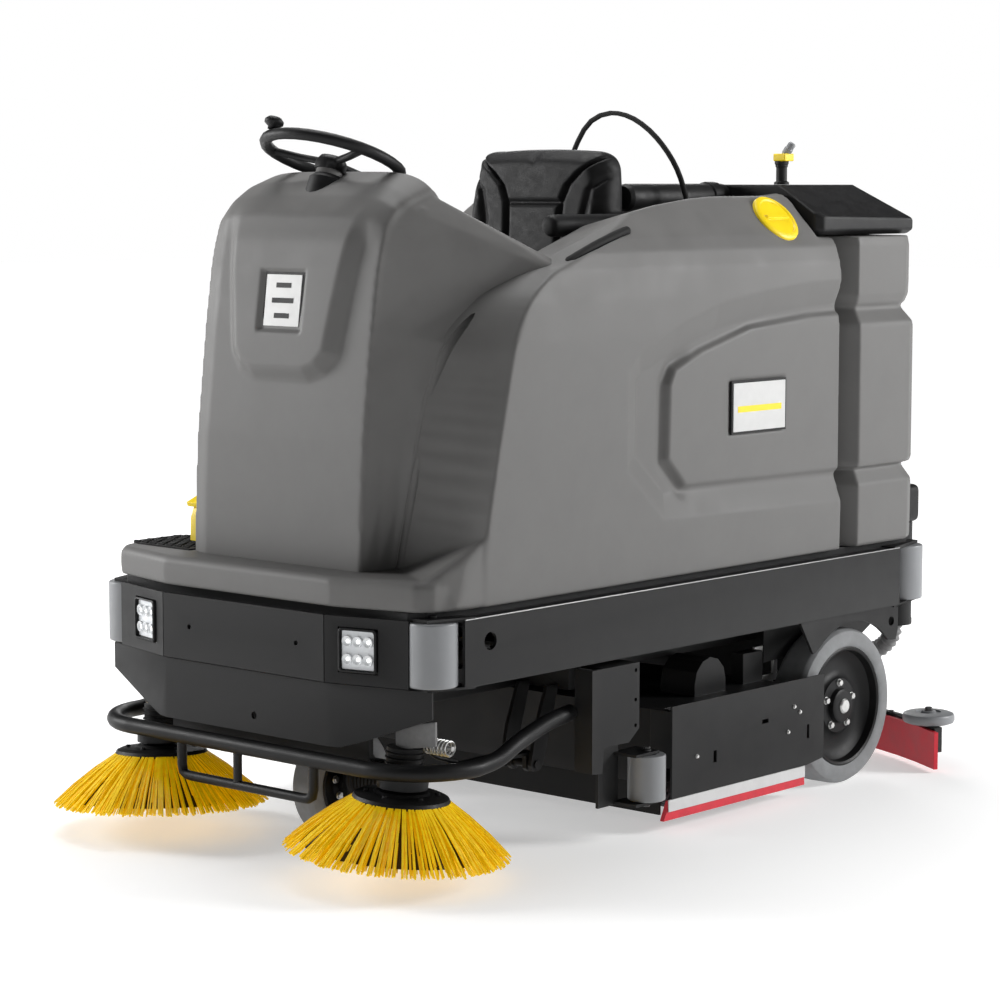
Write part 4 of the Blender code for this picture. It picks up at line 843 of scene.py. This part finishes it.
# ---- guard tube
arc = [
    (0.405 + 0.170 * math.sin(t), 0.180 - 0.170 * math.cos(t), 0.272)
    for t in [math.radians(a) for a in range(0, 91, 10)]
]
tail = spline(
    [
        (0.575, 0.190, 0.272), (0.572, 0.262, 0.281), (0.562, 0.345, 0.307), (0.530, 0.480, 0.328),
        (0.512, 0.590, 0.338)
    ],
    6
)
half = arc + [tuple(q) for q in tail]
rail = tube("guard", [(-x, y, z) for x, y, z in half[::-1]] + half, 0.0198, 24)
low = [
    (0.225, 0.012, 0.262), (0.225, 0.012, 0.200), (0.221, 0.012, 0.184), (0.208, 0.012, 0.177),
    (0.19, 0.012, 0.176)
]
bar = tube("low", [(-x, y, z) for x, y, z in low] + low[::-1], 0.0118, 16)
post = tube("post", [(-0.030, 0.012, 0.260), (-0.030, 0.012, 0.180)], 0.0105, 14)
piece(join([rail, bar, post]), "guard_rail", "chassis", STEEL, ["guard_tube"], angle=50)

# ---- side brushes
random.seed(7)
TUFTS = 78


def disc_brush(side):
    """A round brush on its joint's axis: four rings of bristles set in tufts, over a dark cone of painted
    shade.
    """
    node = f"side_brush_{side}"
    joint = [j for j in frame["joints"] if j["name"] == f"broom_{side}_spin"][0]
    axis = Vector(joint["axis"]).normalized()
    top = Vector(joint["pos_m"])
    top.y -= ROW
    body = body_of(node)
    u, v, w = basis(axis)
    verts, faces = [], []
    drop, hub, tip = 0.146, 0.112, 0.262
    rings = [
        (250, hub, tip, drop),
        (240, hub - 0.012, tip - 0.016, drop + 0.003),
        (200, hub - 0.03, tip - 0.05, drop + 0.004),
        (150, hub - 0.05, tip - 0.10, drop + 0.002),
    ]
    for layer, (count, start, reach, fall) in enumerate(rings):
        for i in range(count):
            a = TAU * (round(i * TUFTS / count) + random.uniform(-0.33, 0.33)) / TUFTS
            da = random.uniform(-0.012, 0.012)
            r1 = reach + random.uniform(-0.012, 0.004)
            h0 = -0.022 - 0.004 * layer
            h1 = -fall + random.uniform(-0.001, 0.006)
            size = random.uniform(0.0017, 0.0028)
            base = len(verts)
            bend = random.uniform(0.000, 0.006)
            for s, thick in ((0, 1.0), (0.33, 1.05), (0.66, 1.0), (1, 0.75)):
                r = start + (r1 - start) * s + bend * math.sin(math.pi * s) * 0.6
                h = h0 + (h1 - h0) * s + bend * math.sin(math.pi * s)
                t = a + da * s
                radial = u * math.cos(t) + v * math.sin(t)
                tangent = v * math.cos(t) - u * math.sin(t)
                normal = radial.cross(tangent)
                o = top + w * h + radial * r
                slant = (w * 0.75 + radial * 0.65).normalized()
                for p, q in ((-1, -1), (1, -1), (1, 1), (-1, 1)):
                    verts.append(tuple(o + tangent * p * size * thick + slant * q * size * 0.8 * thick))
            for k in range(3):
                for e in range(4):
                    f = (e + 1) % 4
                    faces.append(
                        (base + 4 * k + e, base + 4 * k + f, base + 4 * k + 4 + f, base + 4 * k + 4 + e)
                    )
            faces.append((base, base + 1, base + 2, base + 3))
            faces.append((base + 15, base + 14, base + 13, base + 12))
    piece(make(node, verts, faces), f"{node}_bristles", body, BRISTLE, [node], angle=80)
    # a dark cone under the tufts: painted shade inside the brush
    cone = turned(
        "cone",
        [
            (0, -0.012), (hub - 0.02, -0.014), (hub - 0.012, -0.024), (0.165, -0.075), (0.226, -0.132),
            (0.170, -0.132), (0.12, -0.05), (0.06, -0.03), (0, -0.03)
        ],
        top, w, 64
    )
    piece(cone, f"{node}_root", body, BRISTLE_SHADE)
    ring = turned(
        "ring",
        [
            (0, 0.006), (0.030, 0.006), (0.034, 0.001), (0.060, -0.001), (0.066, -0.006), (hub - 0.014, -0.008),
            (hub - 0.002, -0.013), (hub + 0.002, -0.020), (hub, -0.026), (hub - 0.02, -0.024), (0, -0.02)
        ],
        top, w, 64
    )
    ribs = []
    for i in range(6):
        t = TAU * i / 6
        ribs.append(
            bolt(tuple(top + (u * math.cos(t) + v * math.sin(t)) * 0.082 - w * 0.0075), tuple(w), 0.007)
        )
    piece(join([ring] + ribs), f"{node}_disc", body, CAST)


disc_brush("left")
disc_brush("right")

# ---- brush arms, brackets, deck, frame
FIN = [(0.0415, 0), (0.0450, 0.0012), (0.0450, 0.0036), (0.0415, 0.0048)]
CABLE = [(0.405, 0.165, 0.325), (0.385, 0.215, 0.300), (0.380, 0.26, 0.262), (0.392, 0.32, 0.242)]
for side, sign in SIDES:
    refine(f"brush_arm_{side}", 0.0016)
    fins = []
    axis = Vector([j for j in frame["joints"] if j["name"] == f"broom_{side}_spin"][0]["axis"])
    top = Vector((sign * 0.412, 0.112, 0.212))
    for k in range(5):
        fins.append(turned("fin", FIN, tuple(top + axis * (0.036 + 0.0125 * k)), axis, 40))
    cable = [top + axis * 0.1015, top + axis * 0.118 + Vector((-sign * 0.004, 0.012, 0))]
    cable += [(sign * x, y, z) for x, y, z in CABLE]
    fins.append(tube("cable", spline(cable, 8), 0.0055, 12))
    piece(join(fins), f"brush_motor_ribs_{side}", f"broom_arm_{side[0]}", CAST)
    refine(f"side_bracket_{side}", 0.0014)
    roller_pin = [bolt((sign * 0.556, 0.828, z), (0, 0, d), 0.011) for z, d in ((0.2165, 1), (0.0855, -1))]
    piece(join(roller_pin), f"deflector_pin_{side}", "chassis", DARKZINC)
refine("chassis_frame", 0.0015)
refine("rear_beam", 0.0018)
skirt_bolts = []
for sign in (1, -1):
    for y, z in ((1.005, 0.177), (1.415, 0.246), (1.440, 0.229), (1.389, 0.183)):
        skirt_bolts.append(bolt((sign * SIDE_FACE, y, z), (sign, 0, 0), 0.0055))
refine("scrub_deck", 0.0014)
for name, y in (("deck_front_skirt", 0.930), ("deck_rear_skirt", 1.322)):
    flap = block(name, (-0.515, y, 0.031), (0.515, y + 0.007, 0.200), 0.0015)
    piece(flap, name, "deck", RUBBER)
piece(join(skirt_bolts), "skirt_bolts", "deck", ZINC)
for side, sign in SIDES:
    ends = ((0.906, 0.078), (0.882, 0.030), (1.470, 0.078), (1.474, 0.030))
    lip = hull("lip", [(sign * x, y, z) for x in (0.5545, 0.5670) for y, z in ends])
    piece(bevel(lip, 0.0012), f"side_lip_{side}_detail", "deck", RED, [f"side_lip_{side}"])
    inner_x, outer_x = sorted((sign * 0.5680, sign * 0.5712))
    strip = block("strip", (inner_x, 0.898, 0.052), (outer_x, 1.470, 0.082), 0.0008)
    piece(strip, f"side_strip_{side}", "deck", WHITE)


def roll_brush(node, station):
    """A cylindrical brush: a core with tufts set in two spirals."""
    verts, faces = [], []
    z = 0.106
    for row in range(22):
        for i in range(96):
            a = TAU * (row / 22) + TAU * i / 96 * 1.5 + random.uniform(-0.03, 0.03)
            x = -0.488 + 0.976 * i / 95
            c, s = math.cos(a), math.sin(a)
            base = len(verts)
            for r, size in ((0.048, 0.0034), (0.0772, 0.0046)):
                for p, q in ((-1, -1), (1, -1), (1, 1), (-1, 1)):
                    verts.append((x + p * size, station + c * r - s * q * size, z + s * r + c * q * size))
            faces += [(base + e, base + (e + 1) % 4, base + 4 + (e + 1) % 4, base + 4 + e) for e in range(4)]
            faces += [(base + 3, base + 2, base + 1, base), (base + 4, base + 5, base + 6, base + 7)]
    piece(make(node, verts, faces), node + "_tufts", body_of(node), NYLON, [node], angle=60)
    core = turned(
        "core",
        [
            (0, 0), (0.022, 0), (0.022, 0.004), (0.052, 0.006), (0.052, 0.986), (0.022, 0.988), (0.022, 0.992),
            (0, 0.992)
        ],
        (-0.496, station, z), (1, 0, 0), 48
    )
    piece(core, node + "_core", body_of(node), CAST)


roll_brush("roller_brush_front", 1.035)
roll_brush("roller_brush_rear", 1.215)

# ---- wheels
def wheel(node, centre, r, width, rim, sign):
    """A solid tyre on a dished rim, with five nuts and a hub cap; sign is the side it faces."""
    x, y, z = centre
    h = width / 2
    body = body_of(node)
    tread = [
        (rim + 0.004, -h + 0.004), (rim + 0.012, -h), (r - 0.020, -h), (r - 0.007, -h + 0.005),
        (r - 0.001, -h + 0.014), (r, -h + 0.022), (r, h - 0.022), (r - 0.001, h - 0.014),
        (r - 0.007, h - 0.005), (r - 0.020, h), (rim + 0.012, h), (rim + 0.004, h - 0.004)
    ]
    tyre = turned(
        "tyre", tread + [(rim - 0.004, h - 0.010), (rim - 0.004, -h + 0.010)], centre, (sign, 0, 0), 96
    )
    piece(tyre, f"{node}_tyre", body, TYRE, [node], angle=30)
    disc = [
        (0, -h + 0.012), (rim - 0.002, -h + 0.012), (rim + 0.002, -h + 0.006), (rim + 0.003, h - 0.006),
        (rim - 0.002, h - 0.003), (rim - 0.008, h - 0.006), (rim - 0.012, h - 0.026), (rim - 0.030, h - 0.040),
        (rim * 0.62, h - 0.044), (rim * 0.50, h - 0.036), (rim * 0.46, h - 0.026), (rim * 0.30, h - 0.024),
        (rim * 0.28, h - 0.012), (rim * 0.24, h - 0.008), (0, h - 0.007)
    ]
    hub = turned("rim", disc, centre, (sign, 0, 0), 72)
    piece(hub, f"{node}_rim", body, STEEL)
    nuts = []
    for i in range(5):
        t = TAU * i / 5 + 0.3
        at = (x + sign * (h - 0.0255), y + math.cos(t) * rim * 0.385, z + math.sin(t) * rim * 0.385)
        nuts.append(bolt(at, (sign, 0, 0), 0.0105))
    cap = [(0, 0), (0.020, 0), (0.020, 0.002), (0.016, 0.006), (0, 0.0065)]
    nuts.append(turned("cap", cap, (x + sign * (h - 0.0075), y, z), (sign, 0, 0), 32))
    piece(join(nuts), f"{node}_bolts", body, ZINC)


wheel("rear_wheel_left", (0.500, 1.681, 0.208), 0.208, 0.105, 0.158, 1)
wheel("rear_wheel_right", (-0.500, 1.681, 0.208), 0.208, 0.105, 0.158, -1)
wheel("front_wheel", (0, 0.330, 0.140), 0.140, 0.078, 0.096, 1)
refine("front_fork", 0.0018)
ribs = [
    turned(
        "r", [(0.050, 0), (0.0525, 0.001), (0.0525, 0.004), (0.050, 0.005)], (0.085 + 0.012 * k, 0.330, 0.160),
        (1, 0, 0), 40
    )
    for k in range(7)
]
refine("drive_motor", 0.003, CAST, ribs)

# ---- squeegee
refine("squeegee_bar", 0.0016)
refine("squeegee_blade", 0.0006, RED)


def blade_y(x):
    return 2.160 - 0.48 * x * x


knobs = []
for i in range(9):
    x = -0.56 + 0.14 * i
    knobs.append(bolt((x, blade_y(x) + 0.018, 0.1182), (0, 0, 1), 0.008))
piece(join(knobs), "squeegee_knobs", "squeegee", DARKZINC)
hose_path = spline(
    [
        (0.060, 2.164, 0.138), (0.085, 2.150, 0.190), (0.150, 2.135, 0.240), (0.250, 2.125, 0.262),
        (0.345, 2.122, 0.285), (0.395, 2.122, 0.330), (0.405, 2.122, 0.396)
    ],
    24
)
radii = [0.0232 + 0.0030 * math.cos(i * TAU / 6) for i in range(len(hose_path))]

# ---- lid, cap, coupling, duct, turbine
lid_points = []
for x, y, z in (
    (0.520, 1.600, 1.470), (0.520, 2.015, 1.470), (0.520, 1.600, 1.508), (0.520, 2.015, 1.500),
    (0.385, 1.582, 1.590), (0.360, 1.960, 1.590), (0.500, 1.582, 1.470), (0.500, 1.582, 1.515),
    (0.50, 2.015, 1.458), (0.50, 1.60, 1.458)
):
    lid_points += [(x, y, z), (-x, y, z)]
lid = bevel(hull("lid", lid_points), 0.007, 4, 12)
cut(lid, bevel(block("recess", (-0.30, 1.66, 1.5865), (0.30, 1.90, 1.60), 0), 0.0015, 2))
grip = block("grip", (-0.10, 2.004, 1.470), (0.10, 2.0146, 1.482))
piece(join([lid, grip]), "tank_lid_shell", "lid", CAST, ["tank_lid"], angle=25)
px, py = 0.335, 1.662
pipe = turned(
    "pipe",
    [
        (0, 0.0), (0.020, 0.0), (0.020, 0.006), (0.0145, 0.009), (0.0145, 0.045), (0.0165, 0.047),
        (0.0165, 0.054), (0, 0.054)
    ],
    (px, py, 1.5905), (0, 0, 1), 32
)
piece(pipe, "coupling_pipe", "lid", CAST, ["spray_coupling"])
tip_dir = Vector((0.55, 0.15, 0.82)).normalized()
start = Vector((px, py, 1.648))
valve = turned(
    "valve", [(0, -0.006), (0.0165, -0.006), (0.0185, -0.003), (0.0185, 0.018), (0.016, 0.022), (0, 0.022)],
    tuple(start), (0, 0, 1), 28
)
piece(valve, "coupling_valve", "lid", CAST)
clip = bevel(block("clip", (px - 0.014, py - 0.0205, 1.652), (px + 0.026, py + 0.020, 1.672), 0), 0.003, 3)
piece(clip, "coupling_clip", "lid", YELLOW)
tip = turned(
    "tip",
    [
        (0, 0.0), (0.0105, 0.0), (0.0105, 0.012), (0.0120, 0.014), (0.0120, 0.030), (0.0105, 0.032),
        (0.0105, 0.044), (0.0085, 0.047), (0, 0.047)
    ],
    tuple(start + Vector((0.004, 0, 0.012))), tip_dir, 24
)
piece(tip, "coupling_tip", "lid", ROLLER)
refine("vacuum_duct", 0.0012, CAST)
refine("suction_turbine", 0.003, CAST)
refine("arched_hose", 0, RUBBER, angle=60)
piece(
    tube("suction_hose", hose_path, radii, 20), "suction_hose_detail", body_of("suction_hose"), HOSE,
    ["suction_hose"], angle=60
)
cap_axis = Vector((0.753, 0, 0.658)).normalized()
cap_at = Vector((0.4755, 1.444, 1.50229))
cap = turned(
    "cap",
    [
        (0, -0.010), (0.066, -0.010), (0.0705, -0.006), (0.072, 0.0), (0.0705, 0.006), (0.066, 0.0095),
        (0.058, 0.0105), (0.054, 0.0075), (0.030, 0.0070), (0, 0.0070)
    ],
    tuple(cap_at), cap_axis, 72
)
along = Vector((0, 1, 0))
across = cap_axis.cross(along).normalized()
foot, ridge = ((0.052, 0.007, 0.005), (0.044, 0.0045, 0.013))
grip = hull(
    "grip",
    [
        tuple(cap_at + along * s * a + across * t * b + cap_axis * h) for a, b, h in (foot, ridge) for s in BOTH
        for t in BOTH
    ]
)
piece(join([cap, bevel(grip, 0.002, 2)]), "fill_cap_detail", "cap", YELLOW, ["fill_cap"])

# ---- driver's place
refine("seat_pedestal", 0.006, GREY, steps=3)
refine("battery_pack", 0.004, CAST)


def lower_back(co):
    co[:, 2] -= 0.45 * np.clip(co[:, 1] - 0.405, 0, 1) * ramp(co[:, 2], 1.45, 1.53)
    return co


refine("dashboard", 0.003, CAST, steps=3, warp=lower_back)
collar = turned(
    "collar",
    [
        (0.016, -0.060), (0.040, -0.060), (0.038, -0.030), (0.034, -0.022), (0.032, 0.008), (0.028, 0.012),
        (0.016, 0.012)
    ],
    (0, 0.314 - 0.34202 * 0.042, 1.654 - 0.93969 * 0.042), (0, 0.34202, 0.93969), 40
)
piece(collar, "column_collar", "chassis", GREY)

refine("step_mat", 0.0008, RUBBER)
refine("steering_shaft", 0.0006)
refine("steering_wheel", 0, CAST, angle=70)
refine("spinner_knob", 0, CAST, angle=60)
refine("brake_pedal", 0.0012, YELLOW)
refine("drive_pedal", 0.0012, STEEL)
refine("emergency_button", 0.0008, RED)
refine("key_switch", 0.0006, CAST)


def cushion(node, relief, name, shrink=0.988, limit=0.012):
    """A padded skin blown up from the node's own solid, then given its sewn channels."""
    ob = copy_of(node)
    lo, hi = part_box(node)
    mid = (lo + hi) / 2
    for v in ob.data.vertices:
        v.co = mid + (v.co - mid) * shrink
    modify(ob, "REMESH", mode="VOXEL", voxel_size=0.006)
    rest = np.empty(len(ob.data.vertices) * 3)
    ob.data.vertices.foreach_get("co", rest)
    m = ob.modifiers.new("cloth", "CLOTH")
    m.settings.use_pressure = True
    m.settings.uniform_pressure_force = 4
    m.settings.effector_weights.gravity = 0
    m.point_cache.frame_start, m.point_cache.frame_end = 1, 20
    for f in range(1, 21):
        bpy.context.scene.frame_set(f)
    applied(ob)
    bpy.context.scene.frame_set(1)
    now = np.empty(len(ob.data.vertices) * 3)
    ob.data.vertices.foreach_get("co", now)
    step = (now - rest).reshape(-1, 3)
    length = np.linalg.norm(step, axis=1, keepdims=True)
    step *= np.minimum(1, limit / np.maximum(length, 1e-9))
    ob.data.vertices.foreach_set("co", (rest.reshape(-1, 3) + step).ravel())
    modify(ob, "SMOOTH", factor=0.5, iterations=10)
    modify(ob, "SUBSURF", levels=1, render_levels=1)
    moved(ob, relief)
    piece(ob, name, body_of(node), LEATHER, [node], angle=70)


def seam(d, width, depth):
    """How deep a sewn channel is at a distance d from its line."""
    return depth * np.exp(-((d / width) ** 2))


def back_relief(co):
    x, y, z = co.T
    t = (z - 1.23) / 0.455
    x = x * (1.08 - 0.24 * np.clip(t - 0.62, 0, 1) ** 1.5 / 0.30 - 0.12 * np.clip(0.35 - t, 0, 1)) - 0.004
    z = z + 0.016 * np.clip(t, 0, 1) * (1 - (x / 0.24) ** 2 * 0.8)
    co[:, 0], co[:, 2] = x, z
    lean = (z - 1.23) * 0.0875
    front = ramp(-(y - lean - 1.075), -0.02, 0.02)
    ax = np.abs(x)
    # bolster seams curve in from the shoulders to the waist seam, and run down from it
    inner = np.interp(
        z, [1.24, 1.34, 1.48, 1.545, 1.59, 1.625, 1.66], [0.100, 0.090, 0.088, 0.092, 0.112, 0.150, 0.205]
    )
    groove = seam(ax - inner, 0.008, 0.014) * ramp(z, 1.25, 1.29) * (1 - ramp(z, 1.655, 1.668))
    groove = np.maximum(groove, seam(z - 1.545, 0.007, 0.012) * (1 - ramp(ax, 0.085, 0.10)))
    outer = np.interp(z, [1.30, 1.40, 1.50, 1.58, 1.62], [0.185, 0.180, 0.165, 0.185, 0.225])
    groove = np.maximum(
        groove, seam(ax - outer, 0.010, 0.009) * ramp(z, 1.30, 1.36) * (1 - ramp(z, 1.60, 1.62))
    )
    swell = 0.006 * np.cos(
        np.clip(ax / 0.236, 0, 1) * math.pi / 2
    ) + 0.010 * ramp(ax, 0.17, 0.205) * (1 - ramp(z, 1.56, 1.62))
    co[:, 1] = y + (groove - swell * 0.6) * front
    return co


def cushion_relief(co):
    x, y, z = co.T
    top = ramp(z, 1.175, 1.205)
    ax = np.abs(x)
    groove = seam(ax - 0.150, 0.007, 0.010) * ramp(y, 0.61, 0.66)
    groove = np.maximum(groove, seam(y - 0.72, 0.007, 0.008) * (1 - ramp(ax, 0.145, 0.16)))
    groove = np.maximum(groove, seam(y - 0.88, 0.007, 0.008) * (1 - ramp(ax, 0.145, 0.16)))
    co[:, 2] = z - groove * top
    return co


cushion("seat_backrest", back_relief, "seat_back_pad", 0.988, 0.014)
cushion("seat_cushion", cushion_relief, "seat_base_pad")
cushion("armrest", lambda co: co, "armrest_pad", 0.98, 0.004)

# ---- tank inlet, bulkhead and front pan
socket = turned(
    "socket",
    [
        (0.041, 0.366), (0.047, 0.366), (0.0485, 0.370), (0.0485, 0.382), (0.047, 0.386), (0.047, 0.654),
        (0.041, 0.654)
    ],
    (0.405, 2.122, 0), (0, 0, 1), 48
)
elbow = block("elbow", (0.352, 1.985, 0.655), (0.458, 2.168, 0.760), 0.018, 4)
ring = turned(
    "ring", [(0.0475, 0), (0.052, 0), (0.052, 0.012), (0.0475, 0.012)], (0.405, 2.122, 0.52), (0, 0, 1), 40
)
piece(join([socket, elbow, ring]), "tank_inlet", "chassis", CAST)
piece(
    block("bulkhead", (-0.425, 1.588, 0.215), (0.425, 1.594, 0.590), 0.0015), "rear_bulkhead", "chassis", STEEL,
)
pan = prism(
    "pan", [(-0.335, 0.385), (-0.335, 0.262), (-0.29, 0.232), (0.29, 0.232), (0.335, 0.262), (0.335, 0.385)],
    "y", 0.082, 0.087
)
piece(bevel(pan, 0.0012), "front_pan", "chassis", STEEL)
lever = prism("lever", [(1.425, 0.288), (1.525, 0.288), (1.525, 0.386), (1.425, 0.386)], "x", 0.430, 0.438)
cut(lever, prism("hole", [(1.443, 0.306), (1.507, 0.306), (1.507, 0.368), (1.443, 0.368)], "x", 0.42, 0.45))
piece(bevel(lever, 0.0015), "lift_frame", "chassis", ZINC)
for side, sign in SIDES:
    ends = sorted((sign * 0.437, sign * 0.441))
    liner = prism(
        "liner", [(1.46, 0.34), (1.90, 0.36), (1.98, 0.40), (2.038, 0.455), (2.038, 0.60), (1.46, 0.60)], "x",
        *ends
    )
    piece(bevel(liner, 0.001), f"arch_liner_{side}", "chassis", STEEL)
mat = [
    prism(
        "mat",
        [(-0.528, 0.132), (-0.500, 0.120), (-0.306, 0.116), (-0.306, 0.300), (-0.542, 0.300), (-0.540, 0.165)],
        "z", 0.698, 0.7065
    )
]
for i in range(7):
    for k in range(8):
        x, y = -0.516 + 0.030 * i + 0.015 * (k % 2), 0.134 + 0.022 * k
        if x < -0.320:
            mat.append(block("stud", (x - 0.010, y - 0.004, 0.705), (x + 0.010, y + 0.004, 0.7100), 0.0008, 1))
piece(join(mat), "front_mat", "chassis", RUBBER)

# ---- camera, light, floor
camera = bpy.data.objects.new("camera", bpy.data.cameras.new("camera"))
bpy.context.scene.collection.objects.link(camera)
camera.location = (4.9021, -5.6114, 1.5971)
camera.rotation_euler = (math.radians(83.706), 0, math.radians(41.67))
camera.data.lens = 103.8
camera.data.sensor_width = 36
bpy.context.scene.camera = camera


def lamp(name, at, aim, size, power):
    data = bpy.data.lights.new(name, "AREA")
    data.shape, data.size, data.energy = "DISK", size, power
    ob = bpy.data.objects.new(name, data)
    bpy.context.scene.collection.objects.link(ob)
    ob.location = at
    ob.rotation_euler = (Vector(aim) - Vector(at)).to_track_quat("-Z", "Y").to_euler()


lamp("left", (-5.6, -3.3, 2.6), (0, -0.2, 0.9), 2.2, 330)
lamp("right", (4.9, 4.4, 3.0), (0.2, 0.2, 0.8), 2.4, 360)
lamp("top", (-1.0, 0.4, 5.4), (0, 0, 0.6), 3.0, 170)
lamp("back", (-3.8, 4.6, 3.2), (0, 0, 0.9), 3.0, 90)
world = bpy.data.worlds.new("studio")
world.use_nodes = True
sky = world.node_tree
back = sky.nodes["Background"]
height = sky.nodes.new("ShaderNodeSeparateXYZ")
band = sky.nodes.new("ShaderNodeValToRGB")
for stop, place, shade in zip(band.color_ramp.elements, (0.075, 0.16), (1, 0.06)):
    stop.position, stop.color = place, (shade, shade, shade, 1)
where = sky.nodes.new("ShaderNodeTexCoord")
sky.links.new(where.outputs["Generated"], height.inputs["Vector"])
sky.links.new(height.outputs["Z"], band.inputs["Fac"])
sky.links.new(band.outputs["Color"], back.inputs["Color"])
back.inputs["Strength"].default_value = 1.0
bpy.context.scene.world = world
bpy.context.scene.view_settings.view_transform = "Standard"

floor = link("floor", bpy.data.meshes.new("floor"))
floor.data.from_pydata([(-40, -40, 0), (40, -40, 0), (40, 40, 0), (-40, 40, 0)], [], [(0, 1, 2, 3)])
pale = skin(
    "pale_floor", (0.70, 0.70, 0.70), 0.75, spread=0.01, mottle=0.6, grain=40, depth=0.0001,
    emit=((1, 1, 1), 0.4)
)
nt = pale.node_tree
# the floor glows at 0.45 within 1.2 m of the centre, rising to 1.0 at 7 m: a painted pool of shade around the
# machine on a bright floor
far = nt.nodes.new("ShaderNodeVectorMath")
far.operation = "LENGTH"
nt.links.new(nt.nodes["Texture Coordinate"].outputs["Object"], far.inputs[0])
glow = nt.nodes.new("ShaderNodeMapRange")
put(glow, From_Min=1.2, From_Max=7.0, To_Min=0.45, To_Max=1.0)
nt.links.new(far.outputs["Value"], glow.inputs["Value"])
nt.links.new(glow.outputs["Result"], nt.nodes["Principled BSDF"].inputs["Emission Strength"])
floor.data.materials.append(pale)

bpy.context.view_layer.update()
